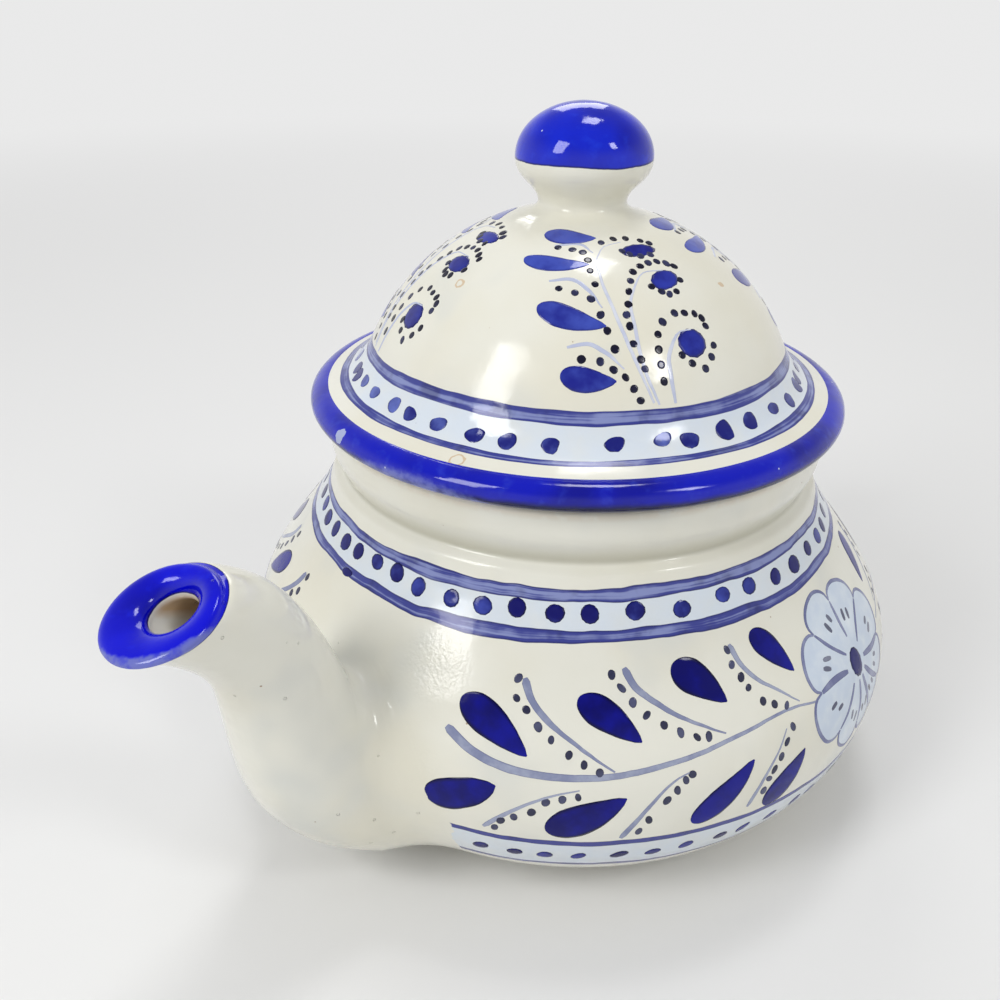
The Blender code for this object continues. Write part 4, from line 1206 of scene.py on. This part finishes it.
def body_spray(sign, shift, leaves, stems, dots):
    """Leaves, stems and rows of dots on one quarter of the belly: azimuth becomes sign times it plus shift."""
    def there(point):
        return sign * point[0] + shift, point[1]

    def clear(point):
        """Whether the brush had room there, between the spout's root and the handle's."""
        off = abs(signed(there(point)[0]))
        return (19.5 if shift else 15) < off < (173.5 if point[1] < 40 else 176)
    chance = leaves.random
    for k, (head, tip, half) in enumerate(BODY_LEAVES):
        if clear(head) and clear(tip):
            leaves.leaf(there(head), there(tip), half * 1.04, bow=(-0.7 if k < 4 else 0.6),
                        point=(0.55 if k == 4 else 0.12))
    for half, points in BODY_STEMS:
        stems.stem(half, [there(point) for point in points if clear(point)])
    for point in BODY_DOTS:
        azimuth, height = there(point)
        size = chance.uniform(0.72, 0.92), chance.uniform(0.95, 1.2), chance.uniform(-40, 40)
        if clear(point):
            dots.dot(azimuth, height, *size)


def lid_spray(turn, leaves, stems, dots, berries):
    def there(point):
        return point[0] + turn, point[1]
    chance = leaves.random
    for head, tip, half in LID_LEAVES:
        leaves.leaf(there(head), there(tip), half, bow=0.5)
    for half, points in LID_STEMS:
        stems.stem(half * 0.8, [there(point) for point in points], both_ends=True)
    for centre, spread, (top, bottom) in LID_BERRIES:
        azimuth, height = there(centre)
        along = LID_WALL.along([top, bottom])
        across = math.radians(spread) / 2 * float(LID_WALL.radius(along.mean()))
        berries.dot(azimuth, height, across, float(along[1] - along[0]) / 2, 0)
    for point in LID_DOTS:
        azimuth, height = there(point)
        dots.dot(azimuth, height, chance.uniform(0.8, 0.98), chance.uniform(0.82, 1.05), chance.uniform(-40, 40))


def brushed(cloth, unsteady_every, works):
    """The pieces of brushwork, each from its name, its marks, its tree, its paint and how unsteady the hand was."""
    return [paint(work.mesh(name), tree, glazed_wall=cloth, paint=colour, unsteady_hand=shake * MM,
                  unsteady_every=unsteady_every * MM) for name, work, tree, colour, shake in works]


def paint_pot(cloth):
    """All the brushwork on the pot; cloth is the canvas that it lies on."""
    strokes_on, dots_on = brush_tree("brush_strokes", 16), brush_tree("brush_dots")
    leaves, stems, ticks, petal_lines = (Strokes(POT_WALL, seed) for seed in (11, 12, 13, 14))
    dots, shoulder, foot = (Dots(POT_WALL, seed) for seed in (21, 22, 24))
    quarters = ((1, 0.0), (-1, 2 * SPRAY_MIRROR), (-1, FAR_FLANK_SHIFT), (1, FAR_FLANK_SHIFT - 2 * SPRAY_MIRROR))
    for sign, shift in quarters:
        body_spray(sign, shift, leaves, stems, dots)
    pieces = []
    petal_blue = brush_paint("petal_wash", PETAL, PETAL_DEEP, PETAL_DEEP, 0.75)
    for name, centre, flip in (("flower", FLOWER_CENTRE, 1),
                               ("far_flower", (FAR_FLANK_SHIFT - FLOWER_CENTRE[0], FLOWER_CENTRE[1]), -1)):
        pieces.append(finish_piece(flower_patch(name, POT_WALL, centre, PETALS, flip), petal_blue))
        draw_flower(petal_lines, ticks, centre, PETALS, flip)
        shoulder.dot(centre[0], centre[1], 2.9, 3.8, 2 * flip, lift=0.09)
    shoulder.ring(SHOULDER_DOTS, SHOULDER_DOT_HEIGHT, 2.1, 2.05, 6.9)
    shoulder.dot(-11.3, 68.2, 2.0, 1.0, 16, lift=0.04)
    foot.ring(FOOT_DABS, FOOT_DAB_HEIGHT, 1.95, 1.4, 5.3, keep_out=22.5, sway=0.3, lean=20)
    stroke_paint = brush_paint("stem_slate", STEM_PALE, STEM, STEM_DARK, 0.6, streaky=0.5, fades=0.3)
    tick_paint = brush_paint("tick_grey", tone(126, 130, 150), tone(80, 84, 108), tone(60, 62, 90), 0.5)
    return pieces + brushed(cloth, 3.0, (
            ("body_leaves", leaves, strokes_on,
             brush_paint("leaf_ultramarine", BRIGHT, ULTRAMARINE, INK, 0.85, fades=0.25, shine=0.28), 0.3),
            ("body_stems", stems, strokes_on, stroke_paint, 0.35),
            ("petal_lines", petal_lines, strokes_on,
             brush_paint("petal_slate", PETAL_LINE_PALE, PETAL_LINE, PETAL_LINE_DARK, 0.6, streaky=0.5), 0.35),
            ("petal_ticks", ticks, strokes_on, tick_paint, 0.3),
            ("body_dots", dots, dots_on,
             brush_paint("dot_slate", tone(80, 84, 116), tone(40, 42, 70), tone(22, 22, 44), 0.6), 0.5),
            ("shoulder_dots", shoulder, dots_on,
             brush_paint("dab_blue", tone(58, 72, 168), tone(5, 6, 100), INK, 0.7, shine=0.35), 0.6),
            ("foot_dabs", foot, dots_on,
             brush_paint("dab_dark", tone(36, 44, 142), tone(8, 8, 86), INK, 0.6, shine=0.25), 0.6)))


def paint_lid(cloth):
    strokes_on, dots_on = bpy.data.node_groups["brush_strokes"], bpy.data.node_groups["brush_dots"]
    leaves, stems, dabs = (Strokes(LID_WALL, seed) for seed in (31, 32, 33))
    dots, berries = Dots(LID_WALL, 41), Dots(LID_WALL, 42)
    for turn in LID_TURNS:
        lid_spray(turn, leaves, stems, dots, berries)
    chance = dabs.random
    for azimuth in round_the_pot(FLANGE_DOTS, 9.3, chance):
        level = FLANGE_DAB_HEIGHT + chance.uniform(-0.3, 0.3)
        tip = azimuth + chance.uniform(-1.2, 3.2), level - chance.uniform(1.8, 2.5)
        dabs.leaf((azimuth, level), tip, chance.uniform(1.95, 2.4), point=chance.uniform(0.3, 0.65))
    leaf_paint = brush_paint("leaf_blue", tone(62, 80, 180), tone(22, 30, 138), tone(16, 18, 100), 0.6, fades=0.2)
    return brushed(cloth, 2.4, (
            ("lid_leaves", leaves, strokes_on, leaf_paint, 0.3),
            ("lid_stems", stems, strokes_on,
             brush_paint("stem_pale", tone(214, 218, 230), tone(184, 191, 216), tone(160, 168, 200), 0.4), 0.25),
            ("lid_berries", berries, dots_on,
             brush_paint("berry_blue", tone(40, 54, 166), tone(8, 12, 118), tone(10, 12, 74), 0.6), 0.5),
            ("lid_dots", dots, dots_on,
             brush_paint("dot_navy", tone(50, 54, 92), tone(12, 12, 40), tone(6, 6, 20), 0.6), 0.4),
            ("flange_dabs", dabs, strokes_on,
             brush_paint("flange_blue", tone(96, 112, 192), tone(20, 26, 118), tone(10, 12, 76), 0.7), 0.6)))


# Light, floor and camera

# What each lamp is called, its azimuth and elevation in degrees, how far away and how large it is in metres, watts
LAMPS = (("window_left", -9, 38, 1.0, (0.28, 0.44), 3.5), ("window_right", 92, 42, 1.2, (0.2, 0.26), 2.0),
         ("overhead", 200, 74, 1.3, (0.3, 0.3), 2.8), ("behind", -140, 35, 1.3, (0.5, 0.4), 2.2))
LAMPS_AIM = (0, 0, 0.08)
ROOM_ABOVE, ROOM_LIGHT = 0.3, 0.55
FLOOR_RADIUS, FLOOR_DROP, FLOOR_SIDES = 7.0, 0.0002, 96


def soft_box(name, azimuth, elevation, away, size, watts):
    """A soft lamp that looks at the pot's middle."""
    lamp = bpy.data.lights.new(name, "AREA")
    lamp.shape, lamp.size, lamp.size_y, lamp.energy = "RECTANGLE", size[0], size[1], watts
    thing = placed(name, lamp)
    (east, north), (level, up) = ray(azimuth), ray(elevation)
    way = Vector((east * level, north * level, up))
    thing.location = Vector(LAMPS_AIM) + way * away
    thing.rotation_euler = (-way).to_track_quat("-Z", "Y").to_euler()


def set_the_stage():
    rim = [(FLOOR_RADIUS * math.cos(a), FLOOR_RADIUS * math.sin(a), -FLOOR_DROP)
           for a in np.linspace(0, 2 * math.pi, FLOOR_SIDES, endpoint=False)]
    floor = finish_piece(carrier("floor", rim, [], {}, [tuple(range(FLOOR_SIDES))]), floor_paper("floor_paper"))
    world = bpy.data.worlds.new("studio")
    bpy.context.scene.world = world
    world.use_nodes = True
    tree = world.node_tree
    tree.nodes.clear()
    path = put(tree, "ShaderNodeLightPath").outputs
    seen = Field(tree, path["Is Camera Ray"])
    for other in ("Is Transmission Ray", "Is Glossy Ray"):
        seen = seen.math("MAXIMUM", seen, path[other])
    way = read(tree, "ShaderNodeTexCoord", "Generated")
    room = read(tree, "ShaderNodeSeparateXYZ", "Z", {"Vector": way}).eased(0.12, 0.75, BACKDROP, ROOM_ABOVE)
    level = read(tree, "ShaderNodeMapRange", "Result", {"Value": seen, "To Min": ROOM_LIGHT, "To Max": room})
    back = put(tree, "ShaderNodeBackground", {"Color": (1, 1, 1, 1), "Strength": level})
    put(tree, "ShaderNodeOutputWorld", {"Surface": back.outputs["Background"]})
    for lamp in LAMPS:
        soft_box(*lamp)


# The photograph's camera, fitted to the lid's rings and the pot's outline: its lens in picture widths is 1
CAMERA_AZIMUTH, CAMERA_ELEVATION, CAMERA_AWAY, CAMERA_TARGET_HEIGHT = 127.0, 20.339, 249.58, 102.0
CAMERA_YAW, CAMERA_PITCH, CAMERA_ROLL, CAMERA_LENS = 3.9971, -7.4896, -1.8946, 36.0


def place_camera():
    level, rise = ray(CAMERA_ELEVATION)
    spot = Vector((0, -CAMERA_AWAY * level, CAMERA_AWAY * rise + CAMERA_TARGET_HEIGHT))
    right, ahead = Vector((1, 0, 0)), Vector((0, level, -rise))
    axes = [right, ahead, right.cross(ahead)]
    for still, degrees in ((2, CAMERA_YAW), (0, CAMERA_PITCH), (1, CAMERA_ROLL)):
        turn = Matrix.Rotation(math.radians(degrees), 3, axes[still])
        axes = [axis if k == still else turn @ axis for k, axis in enumerate(axes)]
    around = Matrix.Rotation(math.radians(CAMERA_AZIMUTH), 3, "Z")
    right, ahead, up, spot = (around @ vector for vector in axes + [spot])
    lens = bpy.data.cameras.new("camera")
    lens.lens, lens.sensor_width, lens.sensor_fit = CAMERA_LENS, CAMERA_LENS, "HORIZONTAL"
    lens.clip_start, lens.clip_end = 0.01, 30
    camera = placed("camera", lens)
    place = Matrix((right, up, -ahead)).transposed().to_4x4()
    place.translation = spot * MM
    camera.matrix_world = place
    bpy.context.scene.camera = camera


# The pot put together

def pot_glaze():
    shoulder = [(float(POT_WALL.along(z)), widths, watery, False) for z, *widths, watery in SHOULDER_LINES]
    foot = [(float(POT_WALL.along(z)), widths, watery, True) for z, *widths, watery in FOOT_LINES]
    washes = [(shoulder[0][0], shoulder[1][0], False), (foot[0][0], foot[1][0], True)]
    return banded_glaze("belly_glaze", shoulder + foot, washes, gaps=FOOT_GAPS, waves=1.8, pooled_edge=0.6,
                        grainy=GRAINY_GLAZE, shaded_creases=(POT_WALL.along(CREASE_SHADE_HEIGHTS).tolist(),))


def lid_glaze():
    lines = [(float(LID_WALL.along(z)), widths, watery, False) for z, *widths, watery in FLANGE_LINES]
    marks = [(LID_WALL.at(np.radians([turn]), LID_WALL.along([z]))[0], size, hollow)
             for turn, z, size, hollow in KILN_MARKS]
    return banded_glaze("bell_glaze", lines, [(lines[0][0], lines[1][0], False)], kiln_marks=marks)


def dress():
    plain_white = banded_glaze("plain_glaze", (), ())
    pot_canvas, lid_canvas = canvas("pot_canvas", POT_WALL, 1.2), canvas("lid_canvas", LID_WALL, 0.8)
    on_pot, on_lid = paint_pot(pot_canvas), paint_lid(lid_canvas)
    for helper in (pot_canvas, lid_canvas):
        bpy.data.objects.remove(helper)
    parts = (
        (finish_piece(make_belly(), pot_glaze()), "pot", "belly", "glaze"),
        (finish_piece(make_neck(), plain_white), "pot", "neck_collar", "glaze"),
        (finish_piece(make_foot(), clay_body("foot_clay")), "pot", "foot_ring", "bare_clay"),
        (finish_piece(make_spout(), cobalt_glaze("spout_glaze", LIP_BLUES, mark=LIP_PAINT, pale_crescent=LIP_WORN)), "pot",
         "spout", "glaze"),
        (finish_piece(make_handle(), plain_white), "pot", "handle", "glaze"),
        (finish_piece(make_bell(), lid_glaze()), "lid", "lid_bell", "glaze"),
        (finish_piece(make_rim(), cobalt_glaze("rim_cobalt", RIM_BLUES, low=RIM_SHADE_BELOW, chip=RIM_CHIP,
                                               pale_crescent=RIM_PALE_CRESCENT)), "lid", "lid_rim", "cobalt"),
        (finish_piece(make_collar(), plain_white), "lid", "lid_collar", "glaze"),
        (finish_piece(make_knob(), cobalt_glaze("knob_glaze", KNOB_BLUES_AND_LIGHT, KNOB_PAINT_HEIGHT)), "lid", "lid_knob",
         "cobalt"))
    for thing, body, node, finish in parts:
        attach(thing, body)
        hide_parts(node)
    for thing, body in [(t, "pot") for t in on_pot] + [(t, "lid") for t in on_lid]:
        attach(thing, body)


bpy.context.scene.view_settings.view_transform = "Standard"
dress()
set_the_stage()
place_camera()
bpy.context.view_layer.update()
